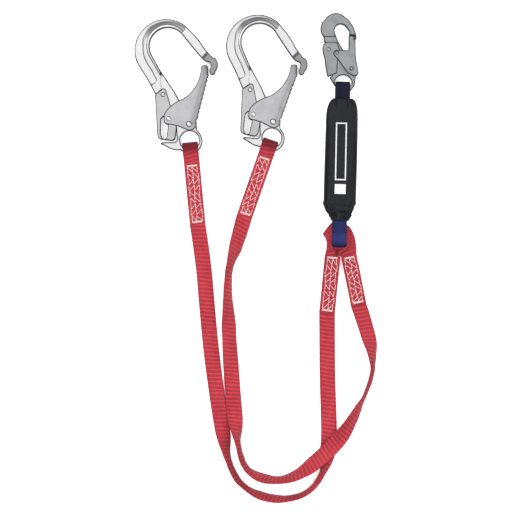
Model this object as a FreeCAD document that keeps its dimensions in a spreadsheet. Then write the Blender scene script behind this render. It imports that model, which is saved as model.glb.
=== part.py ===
import FreeCAD, Part
import math
import os

os.makedirs("parts", exist_ok=True)

# A twin-leg shock absorbing lanyard lying flat. Millimetres, +Z up, the floor at z = 0.
# +Y runs from the webbing legs towards the hooks' crowns, +X from the rebar hooks to the pack.

Vector = FreeCAD.Vector
doc = FreeCAD.newDocument("shock_absorbing_lanyard")

SIZES = {
    # Rebar hooks: each layer's full thickness, taken evenly about the hook's middle plane
    "hook_mid_height": 12.0,
    "hook_web_thick": 9.4,
    "hook_rim_thick": 14.0,
    "hook_recess_depth": 1.3,
    "hook_eye_radius": 15.2,
    "lever_outer_wide": 15.2,
    "lever_inner_wide": 12.0,
    "gate_outer_wide": 19.6,
    "gate_inner_wide": 16.4,
    "hook_one_x": -99.8,
    "hook_one_y": 37.3,
    "hook_one_turn": 29.0,
    "hook_two_x": 32.9,
    "hook_two_y": 41.3,
    "hook_two_turn": 23.2,
    "gate_rivet_radius": 3.0,
    "lever_rivet_radius": 2.5,
    "catch_pin_radius": 2.0,
    "rivet_clearance": 0.08,
    # Snap hook
    "snap_mid_height": 10.0,
    "snap_x": 148.2,
    "snap_y": 129.4,
    "snap_web_thick": 8.6,
    "snap_head_thick": 11.0,
    "snap_lever_outer": 12.8,
    "snap_lever_inner": 10.0,
    "snap_gate_outer": 16.6,
    "snap_gate_inner": 13.8,
    "snap_rivet_radius": 2.2,
    "snap_pin_radius": 1.6,
    # Energy absorber pack
    "pack_x": 144.2,
    "pack_y": 6.6,
    "pack_turn": -1.2,
    "pack_mid_height": 13.0,
    "pack_thick": 26.0,
    "pack_wall": 1.6,
    "upper_loop_x": 144.8,
    "navy_wide": 25.0,
    "navy_thick": 2.2,
    "core_wide": 38.0,
    "backup_wide": 25.0,
    # Webbing legs
    "web_wide": 25.4,
    "web_thick": 2.6,
    "hook_eye_wide": 25.4,
    "pack_eye_wide": 25.0,
    "thread_wide": 1.3,
    "thread_high": 0.4,
    "ring_thick": 2.4,
    "loop_slot_high": 14.4,
    "eye_one_x": -98.1,
    "eye_one_y": 19.5,
    "eye_one_turn": 5.4,
    "eye_two_x": 27.0,
    "eye_two_y": 24.4,
    "eye_two_turn": -19.3,
    "tab_one_x": 130.9,
    "tab_one_y": -149.4,
    "tab_one_turn": -5.4,
    "tab_two_x": 157.3,
    "tab_two_y": -149.4,
    "tab_two_turn": 11.6,
}

sheet = doc.addObject("Spreadsheet::Sheet", "Sizes")
for row, (name, value) in enumerate(SIZES.items(), start=1):
    sheet.set("A%d" % row, name)
    sheet.set("B%d" % row, str(value))
    sheet.setAlias("B%d" % row, name)
doc.recompute()

FLAT = 0.0
PIN_GAP = 0.1
nodes = []


# ---------------------------------------------------------------- helpers

def size(name):
    return float(sheet.get(name))


def outline(start, *steps):
    """Closed edges from start: (x, y) is a straight edge, (mx, my, x, y) an arc through (mx, my)."""
    edges = []
    here = Vector(start[0], start[1], 0)
    first = here
    for step in steps:
        there = Vector(step[-2], step[-1], 0)
        if len(step) == 4:
            edges.append(Part.Arc(here, Vector(step[0], step[1], 0), there))
        else:
            edges.append(Part.LineSegment(here, there))
        here = there
    if here.distanceToPoint(first) > 1e-6:
        edges.append(Part.LineSegment(here, first))
    return edges


def circle(x, y, radius):
    return [Part.Circle(Vector(x, y, 0), Vector(0, 0, 1), radius)]


def box_outline(low_x, low_y, high_x, high_y):
    return outline((low_x, low_y), (high_x, low_y), (high_x, high_y), (low_x, high_y))


def new_body(label, x, y, height, turn):
    """A body placed by sheet cells: each argument is a cell's name or a plain number."""
    body = doc.addObject("PartDesign::Body", label)
    body.Label = label
    body.Placement = FreeCAD.Placement(Vector(0, 0, 0), FreeCAD.Rotation(Vector(0, 0, 1), 1))
    for path, value in (("Base.x", x), ("Base.y", y), ("Base.z", height)):
        text = "Sizes.%s" % value if isinstance(value, str) else str(value)
        body.setExpression("Placement." + path, text)
    text = "Sizes.%s * 1 deg" % turn if isinstance(turn, str) else "%s deg" % turn
    body.setExpression("Placement.Rotation.Angle", text)
    nodes.append(body)
    return body


def sketch_on(body, role, geometry):
    sketch = body.newObject("Sketcher::SketchObject", body.Label + "_sketch")
    plane = [item for item in body.Origin.OriginFeatures if item.Role == role][0]
    sketch.AttachmentSupport = (plane, [""])
    sketch.MapMode = "FlatFace"
    sketch.addGeometry(geometry, False)
    return sketch


def pad(body, geometry, thickness, role="XY_Plane"):
    """Pad a closed outline to both sides of the plane; thickness is an expression on the sheet."""
    feature = body.newObject("PartDesign::Pad", body.Label + "_pad")
    feature.Profile = sketch_on(body, role, geometry)
    feature.SideType = "Symmetric"
    feature.setExpression("Length", thickness)
    return feature


def pocket(body, geometry, thickness=None, role="XY_Plane"):
    """Cut a closed outline: through everything, or a slot of the given thickness about the plane."""
    doc.recompute()
    before = body.Shape.Volume
    feature = body.newObject("PartDesign::Pocket", body.Label + "_pocket")
    feature.Profile = sketch_on(body, role, geometry)
    feature.SideType = "Symmetric"
    if thickness is None:
        feature.Type = "ThroughAll"
    else:
        feature.setExpression("Length", thickness)
    doc.recompute()
    if body.Shape.Volume > before - 0.01:
        raise RuntimeError("a pocket in %s cuts nothing" % body.Label)
    return feature


def turned(body, profile):
    """Turn a half profile, drawn as (radius, height) points, about the body's own Z axis."""
    sketch = sketch_on(body, "XZ_Plane", profile)
    feature = body.newObject("PartDesign::Revolution", body.Label + "_turned")
    feature.Profile = sketch
    feature.ReferenceAxis = (sketch, ["V_Axis"])
    feature.Angle = 360
    return feature


def rivet(label, shaft, grip, head, crown, spot):
    """A rivet along Z with tapered heads: shaft radius, half the stack it grips, head radius, head height."""
    body = new_body(label, spot.x, spot.y, spot.z, 0)
    reach = grip + PIN_GAP
    edge = reach + 0.35 * crown
    top = reach + crown
    shape = outline(
        (0, -top),
        (0.5 * head, -top),
        (head, -edge),
        (head, -reach),
        (shaft, -reach),
        (shaft, reach),
        (head, reach),
        (head, edge),
        (0.5 * head, top),
        (0, top),
    )
    turned(body, shape)
    return body


def placed(spot, at_x, at_y, height, turn):
    """A point of a hook's own plane, carried to the lanyard's frame."""
    place = FreeCAD.Placement(Vector(at_x, at_y, height), FreeCAD.Rotation(Vector(0, 0, 1), turn))
    return place.multVec(Vector(spot[0], spot[1], 0))


def wire_coil(label, path, wire_radius, place):
    """Sweep a round wire along a path and set the result down at place."""
    spine = Part.Wire(path)
    start = spine.Vertexes[0].Point
    tangent = spine.Edges[0].tangentAt(spine.Edges[0].FirstParameter)
    ring = Part.Wire([Part.Circle(start, tangent, wire_radius).toShape()])
    sweep = Part.BRepOffsetAPI.MakePipeShell(spine)
    sweep.setFrenetMode(True)
    sweep.add(ring)
    sweep.build()
    sweep.makeSolid()
    feature = doc.addObject("Part::Feature", label)
    feature.Label = label
    feature.Shape = sweep.shape()
    feature.Placement = place
    nodes.append(feature)
    return feature


def helix(radius, pitch, turns):
    return Part.makeHelix(pitch, pitch * turns, radius).Edges


# ---------------------------------------------------------------- rebar hook
# Drawn in the hook's own plane: origin at the middle of the eye, +Y up the spine, +X to the nose.

LEVER_PIVOT = (-1.7, 85.2)
GATE_PIVOT = (11.9, 23.1)
CATCH_PIN = (-12.4, 46.5)


def hook_profile():
    return outline(
        (81.6, 75.4),
        (86.0, 73.6, 90.5, 77.0),
        (98.6, 83.6, 101.0, 91.5),
        (101.0, 95.0, 97.8, 98.6),
        (93.2, 117.0),
        (91.0, 138.0, 86.4, 155.7),
        (66.0, 187.0, 34.0, 195.5),
        (-2.6, 177.0, -13.9, 148.0),
        (-12.2, 120.0),
        (-12.6, 94.0),
        (-10.5, 82.0),
        (-12.0, 66.0),
        (-9.5, 57.0),
        (-8.5, 50.0),
        (-8.5, 32.0),
        (-10.1, 25.8),
        (-14.5, 17.0),
        (-16.5, 11.5, -21.7, 8.4),
        (-40.4, 19.0),
        (-43.2, 18.4, -42.4, 15.4),
        (-36.2, 7.0),
        (-28.6, -2.2, -20.3, -6.4),
        (-1.0, -21.9, 20.2, -3.5),
        (20.2, 3.0, 18.6, 9.0),
        (21.4, 15.5, 21.2, 24.0),
        (20.4, 36.0),
        (18.4, 50.0),
        (16.7, 66.0),
        (17.2, 81.0),
        (13.4, 124.0),
        (13.6, 150.0),
        (43.0, 179.5, 72.4, 152.0),
        (76.6, 128.0),
        (81.2, 105.0),
        (84.4, 98.4),
        (89.4, 94.0),
        (88.6, 89.6, 84.4, 84.8),
        (81.6, 80.4, 81.6, 75.4),
    )


def head_profile():
    """The thick part of the hook: the C above its slanted foot, and the nose arm down to the lip."""
    return outline(
        (81.6, 75.4),
        (86.0, 73.6, 90.5, 77.0),
        (98.6, 83.6, 101.0, 91.5),
        (101.0, 95.0, 97.8, 98.6),
        (93.2, 117.0),
        (91.0, 138.0, 86.4, 155.7),
        (66.0, 187.0, 34.0, 195.5),
        (-2.6, 177.0, -13.9, 148.0),
        (-12.2, 120.0),
        (-12.6, 94.0),
        (-10.5, 91.0),
        (1.5, 95.4),
        (2.8, 102.0),
        (12.9, 120.0),
        (13.4, 124.0),
        (13.6, 150.0),
        (43.0, 179.5, 72.4, 152.0),
        (76.6, 128.0),
        (81.2, 105.0),
        (84.4, 98.4),
        (89.4, 94.0),
        (88.6, 89.6, 84.4, 84.8),
        (81.6, 80.4, 81.6, 75.4),
    )


def recess_profile():
    """The sunk web between the outer pad and the inner rim; it runs out under the pad's foot."""
    return outline(
        (81.0, 163.0),
        (65.5, 182.5, 39.0, 190.5),
        (30.0, 190.0, 23.2, 186.6),
        (12.6, 178.0, 8.0, 169.5),
        (0.9, 152.0, 0.2, 140.5),
        (1.2, 129.0),
        (0.6, 116.0),
        (-1.0, 109.6, -7.4, 108.4),
        (-18.0, 108.4),
        (-18.0, 86.0),
        (4.0, 86.0),
        (6.4, 104.0),
        (9.6, 112.0),
        (9.6, 124.0),
        (9.4, 150.0),
        (18.0, 172.4, 43.0, 183.5),
        (62.0, 178.8, 75.4, 158.0),
        (79.4, 158.6, 81.0, 163.0),
    )


def nose_profile():
    """The nose block, machined thinner than the arm to fit between the gate's cheeks."""
    return outline((76.0, 103.4), (104.0, 113.2), (108.0, 92.0), (104.0, 70.0), (76.0, 70.0))


def hook_body(label, x, y, turn):
    body = new_body(label, x, y, "hook_mid_height", turn)
    pad(body, hook_profile(), "Sizes.hook_web_thick")
    pad(body, head_profile(), "Sizes.hook_rim_thick")
    pocket(body, circle(0, 0, size("hook_eye_radius")))
    slip = size("rivet_clearance") / 2
    pocket(body, circle(*GATE_PIVOT, size("gate_rivet_radius") + slip))
    pocket(body, circle(*LEVER_PIVOT, size("lever_rivet_radius") + slip))
    cut_recess(body, recess_profile())
    cut_recess(body, nose_profile())
    return body


def cut_recess(body, geometry):
    """Sink the outline by the recess depth from both faces, leaving the web between."""
    for reverse in (False, True):
        doc.recompute()
        before = body.Shape.Volume
        sketch = sketch_on(body, "XY_Plane", geometry)
        offset = "Sizes.hook_rim_thick / 2"
        sketch.setExpression("AttachmentOffset.Base.z", offset if not reverse else "-" + offset)
        feature = body.newObject("PartDesign::Pocket", body.Label + "_recess")
        feature.Profile = sketch
        feature.Reversed = reverse
        feature.setExpression("Length", "Sizes.hook_recess_depth")
        doc.recompute()
        if body.Shape.Volume > before - 1:
            raise RuntimeError("the recess in %s cuts nothing" % body.Label)


GRIP_START = (33.6, 29.7)
GRIP_END = (74.0, 73.2)
GRIP_GROOVES = 9
GRIP_GROOVE_RADIUS = 1.9


def hook_gate(label, x, y, turn):
    """The pressed gate: a channel whose web is the ribbed thumb edge, open towards the spine."""
    body = new_body(label, x, y, "hook_mid_height", turn)
    shape = outline(
        (72.2, 92.6),
        (75.6, 95.4, 79.6, 94.2),
        (82.9, 92.4, 82.6, 88.6),
        (77.4, 76.6),
        (53.0, 50.8),
        (27.9, 23.9),
        (24.6, 23.4),
        (15.4, 12.6, 4.0, 17.4),
        (-5.9, 29.8),
        (-17.6, 39.2),
        (-21.6, 44.0, -20.2, 49.0),
        (-16.4, 55.2, -9.8, 59.9),
        (2.0, 63.4, 17.3, 64.0),
        (31.0, 64.6, 44.2, 68.6),
        (59.6, 78.0, 72.2, 92.6),
    )
    pad(body, shape, "Sizes.gate_outer_wide")
    inside = outline(
        (64.0, 96.0),
        (73.6, 86.4),
        (75.4, 78.0),
        (51.5, 52.4),
        (24.6, 23.9),
        (22.0, 4.0),
        (-40.0, 20.0),
        (-40.0, 76.0),
    )
    pocket(body, inside, "Sizes.gate_inner_wide")
    slip = size("rivet_clearance")
    pocket(body, circle(*GATE_PIVOT, size("gate_rivet_radius") + slip))
    pocket(body, circle(*CATCH_PIN, size("catch_pin_radius") + slip / 2))
    grooves = []
    for index in range(GRIP_GROOVES):
        part = index / (GRIP_GROOVES - 1)
        groove_x = GRIP_START[0] + part * (GRIP_END[0] - GRIP_START[0])
        groove_y = GRIP_START[1] + part * (GRIP_END[1] - GRIP_START[1])
        grooves += circle(groove_x + 0.4, groove_y - 0.4, GRIP_GROOVE_RADIUS)
    pocket(body, grooves)
    return body


def hook_lever(label, x, y, turn):
    """The lock lever: a channel along the hook's back, with a window that the catch pin passes."""
    body = new_body(label, x, y, "hook_mid_height", turn)
    shape = outline(
        (-11.4, 91.6),
        (-1.0, 93.2),
        (4.4, 93.2, 5.8, 88.0),
        (0.6, 64.0),
        (-3.0, 43.5),
        (-6.0, 33.0),
        (-9.7, 26.0),
        (-17.0, 16.0),
        (-21.5, 13.2, -28.9, 16.7),
        (-33.0, 18.6, -36.4, 21.8),
        (-42.0, 27.4, -41.4, 33.0),
        (-15.9, 85.6),
        (-14.6, 89.8, -11.4, 91.6),
    )
    pad(body, shape, "Sizes.lever_outer_wide")
    inside = outline(
        (-13.4, 98.0),
        (-13.4, 84.8),
        (-39.0, 32.6),
        (-39.0, 28.0, -34.8, 23.8),
        (-30.0, 19.6),
        (-30.0, 8.0),
        (20.0, 8.0),
        (20.0, 98.0),
    )
    pocket(body, inside, "Sizes.lever_inner_wide")
    window = outline(
        (-10.0, 53.4),
        (-8.4, 50.0),
        (-8.4, 43.5),
        (-12.6, 43.5),
        (-19.0, 37.0),
        (-26.2, 27.5),
        (-29.6, 22.4),
        (-34.0, 21.4, -36.4, 26.0),
        (-36.4, 31.0),
        (-26.4, 48.0),
        (-22.4, 52.8, -16.5, 53.6),
    )
    pocket(body, window)
    pocket(body, circle(*LEVER_PIVOT, size("lever_rivet_radius") + size("rivet_clearance")))
    return body


def hook_gate_spring(label, at_x, at_y, turn):
    """A torsion spring round the gate's rivet, between the hook's web and the gate's cheek."""
    radius = 6.6
    wire = 0.5
    low = size("hook_web_thick") / 2 + wire + 0.15
    coil = helix(radius, 1.1, 1.75)
    start = Vector(radius, -14, 0)
    leg = Part.LineSegment(start, Vector(radius, 0, 0)).toShape()
    spot = placed(GATE_PIVOT, at_x, at_y, size("hook_mid_height") + low, turn)
    place = FreeCAD.Placement(spot, FreeCAD.Rotation(Vector(0, 0, 1), turn + 118))
    return wire_coil(label, [leg] + coil, wire, place)


def hook_lever_spring(label, at_x, at_y, turn):
    """A compression spring that holds the lever's back off the spine."""
    spot = placed((-22.3, 64.8), at_x, at_y, size("hook_mid_height"), turn)
    aim = FreeCAD.Rotation(Vector(0, 0, 1), turn - 26.0)
    tip = FreeCAD.Rotation(Vector(0, 1, 0), 90)
    return wire_coil(label, helix(3.4, 2.1, 5), 0.5, FreeCAD.Placement(spot, aim.multiply(tip)))


HOOKS = (
    ("1", "hook_one_x", "hook_one_y", "hook_one_turn"),
    ("2", "hook_two_x", "hook_two_y", "hook_two_turn"),
)


def rebar_hook(number, x, y, turn):
    at = (size(x), size(y))
    angle = size(turn)
    middle = size("hook_mid_height")
    hook_body("rebar_hook_%s_body" % number, x, y, turn)
    hook_gate("rebar_hook_%s_gate" % number, x, y, turn)
    hook_lever("rebar_hook_%s_lock_lever" % number, x, y, turn)
    gate_spot = placed(GATE_PIVOT, *at, middle, angle)
    lever_spot = placed(LEVER_PIVOT, *at, middle, angle)
    pin_spot = placed(CATCH_PIN, *at, middle, angle)
    grip = size("gate_outer_wide") / 2
    lever_grip = size("lever_outer_wide") / 2
    rivet("rebar_hook_%s_gate_rivet" % number, size("gate_rivet_radius"), grip, 5.0, 2.0, gate_spot)
    rivet("rebar_hook_%s_lever_rivet" % number, size("lever_rivet_radius"), lever_grip, 3.6, 1.5, lever_spot)
    rivet("rebar_hook_%s_catch_pin" % number, size("catch_pin_radius"), grip, 4.0, 1.4, pin_spot)
    hook_gate_spring("rebar_hook_%s_gate_spring" % number, *at, angle)
    hook_lever_spring("rebar_hook_%s_lever_spring" % number, *at, angle)


# ---------------------------------------------------------------- snap hook
# Its own plane: origin at the top of the strap's loop, +Y up to the crown, +X to the gate.

SNAP_LEVER_PIVOT = (-23.7, 54.9)
SNAP_GATE_PIVOT = (13.1, 23.8)
SNAP_CATCH_STUD = (-10.2, 49.1)


def snap_profile():
    return outline(
        (20.9, 70.6),
        (21.4, 74.2, 20.7, 77.8),
        (15.4, 93.0, 3.2, 106.9),
        (-13.0, 113.6, -29.2, 103.7),
        (-35.8, 94.6, -34.8, 79.4),
        (-31.8, 74.6),
        (-31.6, 67.8),
        (-27.8, 64.4),
        (-28.6, 56.0),
        (-27.2, 50.6),
        (-20.4, 45.0),
        (-17.4, 22.0),
        (-18.4, 12.0),
        (-22.0, 8.6),
        (-9.4, -11.2),
        (-8.0, -12.6, -6.0, -12.6),
        (8.4, -12.6),
        (11.4, -12.4, 13.0, -10.4),
        (18.4, -4.0),
        (20.8, 15.6),
        (21.0, 26.0, 13.6, 30.6),
        (8.6, 34.0),
        (6.4, 41.0),
        (1.0, 51.6),
        (-8.1, 67.2),
        (-13.6, 81.6),
        (-5.4, 95.4, 5.0, 89.9),
        (9.6, 83.6),
        (9.6, 78.2),
        (17.6, 77.6),
        (18.0, 70.8),
    )


def snap_head_profile():
    return outline(
        (20.9, 70.6),
        (21.4, 74.2, 20.7, 77.8),
        (15.4, 93.0, 3.2, 106.9),
        (-13.0, 113.6, -29.2, 103.7),
        (-35.8, 94.6, -34.8, 79.4),
        (-31.8, 75.6),
        (-11.2, 75.6),
        (-13.6, 81.6),
        (-5.4, 95.4, 5.0, 89.9),
        (9.6, 83.6),
        (9.6, 78.2),
        (17.6, 77.6),
        (18.0, 70.8),
    )


def snap_body():
    body = new_body("snap_hook_body", "snap_x", "snap_y", "snap_mid_height", 0)
    pad(body, snap_profile(), "Sizes.snap_web_thick")
    pad(body, snap_head_profile(), "Sizes.snap_head_thick")
    eye = outline(
        (-13.4, -2.4),
        (13.4, -2.4),
        (13.4, 3.6),
        (-0.6, 13.4, -13.4, 3.6),
    )
    pocket(body, eye)
    slip = size("rivet_clearance") / 2
    pocket(body, circle(*SNAP_GATE_PIVOT, size("snap_rivet_radius") + slip))
    pocket(body, circle(*SNAP_LEVER_PIVOT, size("snap_rivet_radius") + slip))
    return body


def snap_gate():
    body = new_body("snap_hook_gate", "snap_x", "snap_y", "snap_mid_height", 0)
    shape = outline(
        (8.8, 77.0),
        (16.6, 77.0),
        (17.4, 70.0),
        (19.6, 68.4),
        (19.8, 47.0),
        (21.1, 35.6),
        (24.2, 19.8),
        (22.0, 12.8, 13.1, 13.6),
        (6.4, 17.0),
        (-8.9, 38.0),
        (-14.6, 44.0),
        (-15.6, 50.6, -10.4, 53.6),
        (0.6, 53.0),
        (8.6, 53.0),
    )
    pad(body, shape, "Sizes.snap_gate_outer")
    inside = outline(
        (4.0, 73.6),
        (14.6, 73.6),
        (17.8, 66.4),
        (17.9, 46.0),
        (19.4, 33.0),
        (30.0, 33.0),
        (30.0, 2.0),
        (-30.0, 2.0),
        (-30.0, 60.0),
        (4.0, 60.0),
    )
    pocket(body, inside, "Sizes.snap_gate_inner")
    pocket(body, circle(*SNAP_GATE_PIVOT, size("snap_rivet_radius") + size("rivet_clearance")))
    pocket(body, circle(*SNAP_CATCH_STUD, size("snap_pin_radius") + size("rivet_clearance") / 2))
    return body


def snap_lever():
    body = new_body("snap_hook_lock_lever", "snap_x", "snap_y", "snap_mid_height", 0)
    shape = outline(
        (-30.6, 64.6),
        (-33.2, 60.0, -33.4, 54.0),
        (-32.6, 48.0, -30.8, 42.0),
        (-28.7, 26.0),
        (-26.4, 15.0),
        (-25.4, 11.6, -22.0, 12.0),
        (-10.4, 16.4),
        (-9.0, 39.0),
        (-4.4, 50.0),
        (-10.0, 66.4),
        (-28.0, 66.4),
    )
    pad(body, shape, "Sizes.snap_lever_outer")
    inside = outline(
        (-40.0, 72.0),
        (-40.0, 61.0),
        (-30.9, 61.0),
        (-31.0, 54.0),
        (-28.8, 41.0),
        (-26.6, 26.0),
        (-24.6, 17.4),
        (-24.6, 6.0),
        (4.0, 6.0),
        (4.0, 72.0),
    )
    pocket(body, inside, "Sizes.snap_lever_inner")
    pocket(body, circle(*SNAP_LEVER_PIVOT, size("snap_rivet_radius") + size("rivet_clearance")))
    return body


def snap_studs(spot, grip, head, crown):
    """A stud through each of the gate's cheeks, ending just above the lever's cheeks."""
    body = new_body("snap_hook_catch_studs", spot.x, spot.y, spot.z, 0)
    body.AllowCompound = True
    shaft = size("snap_pin_radius")
    tail = size("snap_lever_outer") / 2 + 0.3
    reach = grip + PIN_GAP
    studs = []
    for side in (1, -1):
        studs += outline(
            (0, side * tail),
            (shaft, side * tail),
            (shaft, side * reach),
            (head, side * reach),
            (head, side * (reach + 0.35 * crown)),
            (0.5 * head, side * (reach + crown)),
            (0, side * (reach + crown)),
        )
    turned(body, studs)


def snap_hook():
    at = (size("snap_x"), size("snap_y"))
    middle = size("snap_mid_height")
    snap_body()
    snap_gate()
    snap_lever()
    gate_spot = placed(SNAP_GATE_PIVOT, *at, middle, FLAT)
    lever_spot = placed(SNAP_LEVER_PIVOT, *at, middle, FLAT)
    stud_spot = placed(SNAP_CATCH_STUD, *at, middle, FLAT)
    grip = size("snap_gate_outer") / 2
    lever_grip = size("snap_lever_outer") / 2
    rivet("snap_hook_gate_rivet", size("snap_rivet_radius"), grip, 3.4, 1.5, gate_spot)
    rivet("snap_hook_lever_rivet", size("snap_rivet_radius"), lever_grip, 3.6, 1.1, lever_spot)
    snap_studs(stud_spot, grip, 2.8, 0.9)
    wire = 0.4
    low = size("snap_web_thick") / 2 + wire + 0.1
    leg = Part.LineSegment(Vector(4.4, -11, 0), Vector(4.4, 0, 0)).toShape()
    coil = helix(4.4, 0.9, 1.75)
    spot = placed(SNAP_GATE_PIVOT, *at, middle + low, FLAT)
    place = FreeCAD.Placement(spot, FreeCAD.Rotation(Vector(0, 0, 1), 150))
    wire_coil("snap_hook_gate_spring", [leg] + coil, wire, place)
    spot = placed((-26.4, 34.0), *at, middle, FLAT)
    tip = FreeCAD.Rotation(Vector(0, 1, 0), 90)
    wire_coil("snap_hook_lever_spring", helix(2.6, 1.4, 5), 0.4, FreeCAD.Placement(spot, tip))


# ---------------------------------------------------------------- energy absorber pack
# Its own plane: origin at the middle of the pack, +Y towards the snap hook.

PACK_TOP = 98.6
SHOULDER = 73.0
PACK_HALF_WIDE = 26.8
NECK_HALF_WIDE = 14.6


def pack_profile(inset):
    half = PACK_HALF_WIDE - inset
    neck = NECK_HALF_WIDE - inset
    top = PACK_TOP - inset
    right = [
        (neck, -top),
        (19.4 - inset, -94.4 + inset),
        (half, -SHOULDER),
        (half, 82.0 - inset),
        (21.6 - inset, 94.6 - inset),
        (neck, top),
    ]
    left = [(-x, y) for x, y in right[::-1]]
    return outline(right[0], *right[1:], *left)


def pack_body(label):
    return new_body(label, "pack_x", "pack_y", "pack_mid_height", "pack_turn")


COVER_ROUNDING = 5.0
COVER_INSET = 4.0
SLOT_REACH = 110.0


def pack_cover():
    """A shrunk fabric sleeve: closed all round, with a slot at each end for the navy loops."""
    body = pack_body("shock_pack_cover")
    pad(body, pack_profile(0.0), "Sizes.pack_thick")
    doc.recompute()
    solid = body.Tip
    names = []
    for index, edge in enumerate(solid.Shape.Edges, start=1):
        if abs(abs(edge.CenterOfMass.z) - size("pack_thick") / 2) < 0.01:
            names.append("Edge%d" % index)
    rounding = body.newObject("PartDesign::Fillet", "cover_rounding")
    rounding.Base = (solid, names)
    rounding.Radius = COVER_ROUNDING
    half = size("navy_wide") / 2 + 0.4
    pocket(body, box_outline(-half, -SLOT_REACH, half, SLOT_REACH), "Sizes.loop_slot_high")
    pocket(body, pack_profile(COVER_INSET), "Sizes.pack_thick - 2 * Sizes.pack_wall - 2")
    return body


def folded_strap(low, high, base, thick, gap, count):
    """Side view, in (length, height), of a strap folded to and fro in an odd count of layers."""
    rising = [(low, base), (high, base)]
    falling = []
    for layer in range(1, count):
        floor = base + layer * (thick + gap)
        under = floor - gap
        if layer % 2:
            rising.append((high, floor + thick))
            falling += [(low, under), (high - thick, under), (high - thick, floor), (low, floor)]
        else:
            rising += [(low + thick, under), (low + thick, floor), (high, floor)]
    top = base + count * (thick + gap) - gap
    points = rising + [(high, top), (low, top)] + falling[::-1]
    return outline(points[0], *points[1:])


def tear_core():
    """The tear webbing, folded three layers deep under the navy loops' sewn ends."""
    body = pack_body("tear_webbing_core")
    pad(body, folded_strap(-74.0, 74.0, -10.0, 2.0, 0.3, 3), "Sizes.core_wide", "YZ_Plane")


def backup_strap():
    """The backup strap, folded above the navy loops' ends."""
    body = pack_body("backup_strap")
    pad(body, folded_strap(-70.0, 70.0, 3.2, 1.9, 0.3, 3), "Sizes.backup_wide", "YZ_Plane")


RIP_ROWS = 16
RIP_PITCH = 9.0


def rip_stitching():
    """Rows of rip thread across the top of the tear webbing."""
    body = pack_body("rip_stitching")
    body.AllowCompound = True
    rows = []
    for index in range(RIP_ROWS):
        y = (index - (RIP_ROWS - 1) / 2) * RIP_PITCH
        rows += box_outline(y - 0.6, -3.2, y + 0.6, -2.7)
    pad(body, rows, "Sizes.core_wide - 6", "YZ_Plane")


def strap_loop(body, bar, radius, thick, shoulder, neck, end, half, width):
    """A strap doubled round a bar, seen from the side in (length, height).

    The bight is a half circle of the given inner radius about bar. The layers stay apart as far
    as shoulder, a (length, height, half gap), meet at neck and run on together to end.
    """
    turn = 1 if bar[0] > neck[0] else -1
    outer = radius + thick
    along, level, gap = shoulder
    outside = outline(
        (bar[0], bar[1] + outer),
        (along, level + gap + thick),
        (neck[0], neck[1] + half),
        (end[0], end[1] + half),
        (end[0], end[1] - half),
        (neck[0], neck[1] - half),
        (along, level - gap - thick),
        (bar[0], bar[1] - outer),
        (bar[0] + turn * outer, bar[1], bar[0], bar[1] + outer),
    )
    inside = outline(
        (bar[0], bar[1] + radius),
        (along, level + gap),
        (neck[0] + turn * 2.0, neck[1]),
        (along, level - gap),
        (bar[0], bar[1] - radius),
        (bar[0] + turn * radius, bar[1], bar[0], bar[1] + radius),
    )
    pad(body, outside, width, "YZ_Plane")
    pocket(body, inside, None, "YZ_Plane")


def upper_loop():
    body = new_body("upper_navy_loop", "upper_loop_x", "pack_y", "pack_mid_height", "pack_turn")
    shoulder = (107.5, -2.8, 4.9)
    strap_loop(
        body, (118.9, -3.0), 5.0, size("navy_thick"), shoulder, (92.0, 0.6), (40.0, 0.6), 2.2,
        "Sizes.navy_wide - 1",
    )


def lower_loop():
    body = pack_body("lower_navy_loop")
    shoulder = (-99.0, 0.0, 3.6)
    strap_loop(
        body, (-135.8, 0.0), 3.8, size("navy_thick"), shoulder, (-86.0, 0.6), (-40.0, 0.6), 2.2,
        "Sizes.navy_wide - 1.4",
    )


def label_panel():
    """A plain flat label on the cover's face."""
    body = pack_body("pack_label_panel")
    pad(body, box_outline(-11.0, -52.0, 11.0, 62.0), "0.6")
    body.setExpression("Placement.Base.z", "Sizes.pack_mid_height + Sizes.pack_thick / 2 + 0.35")


def shock_pack():
    pack_cover()
    tear_core()
    rip_stitching()
    backup_strap()
    upper_loop()
    lower_loop()
    label_panel()


# ---------------------------------------------------------------- webbing legs

EYE_BIGHT = (7.2, 0.0)
EYE_INNER_RADIUS = 5.7
TAB_HALF = 2.6
HOOK_TAB_END = (-118.0, -8.4)
HOOK_TAB_NECK = (-22.0, -0.4)


def sewn_place(x, y, turn, height):
    """The frame of a sewn end: cells of the sheet for its spot and turn, and a plain height."""
    spot = Vector(size(x), size(y), height)
    return FreeCAD.Placement(spot, FreeCAD.Rotation(Vector(0, 0, 1), size(turn)))


def hook_end_eye(number, x, y, turn):
    """The sewn eye on a hook: origin at the middle of the ring's bar, +Y towards the hook."""
    body = new_body("leg_%s_hook_eye" % number, x, y, "hook_mid_height", turn)
    strap_loop(
        body, EYE_BIGHT, EYE_INNER_RADIUS, size("web_thick") - 0.2, (-5.0, 0.0, 5.4), HOOK_TAB_NECK,
        HOOK_TAB_END, TAB_HALF, "Sizes.hook_eye_wide",
    )
    return body


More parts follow.
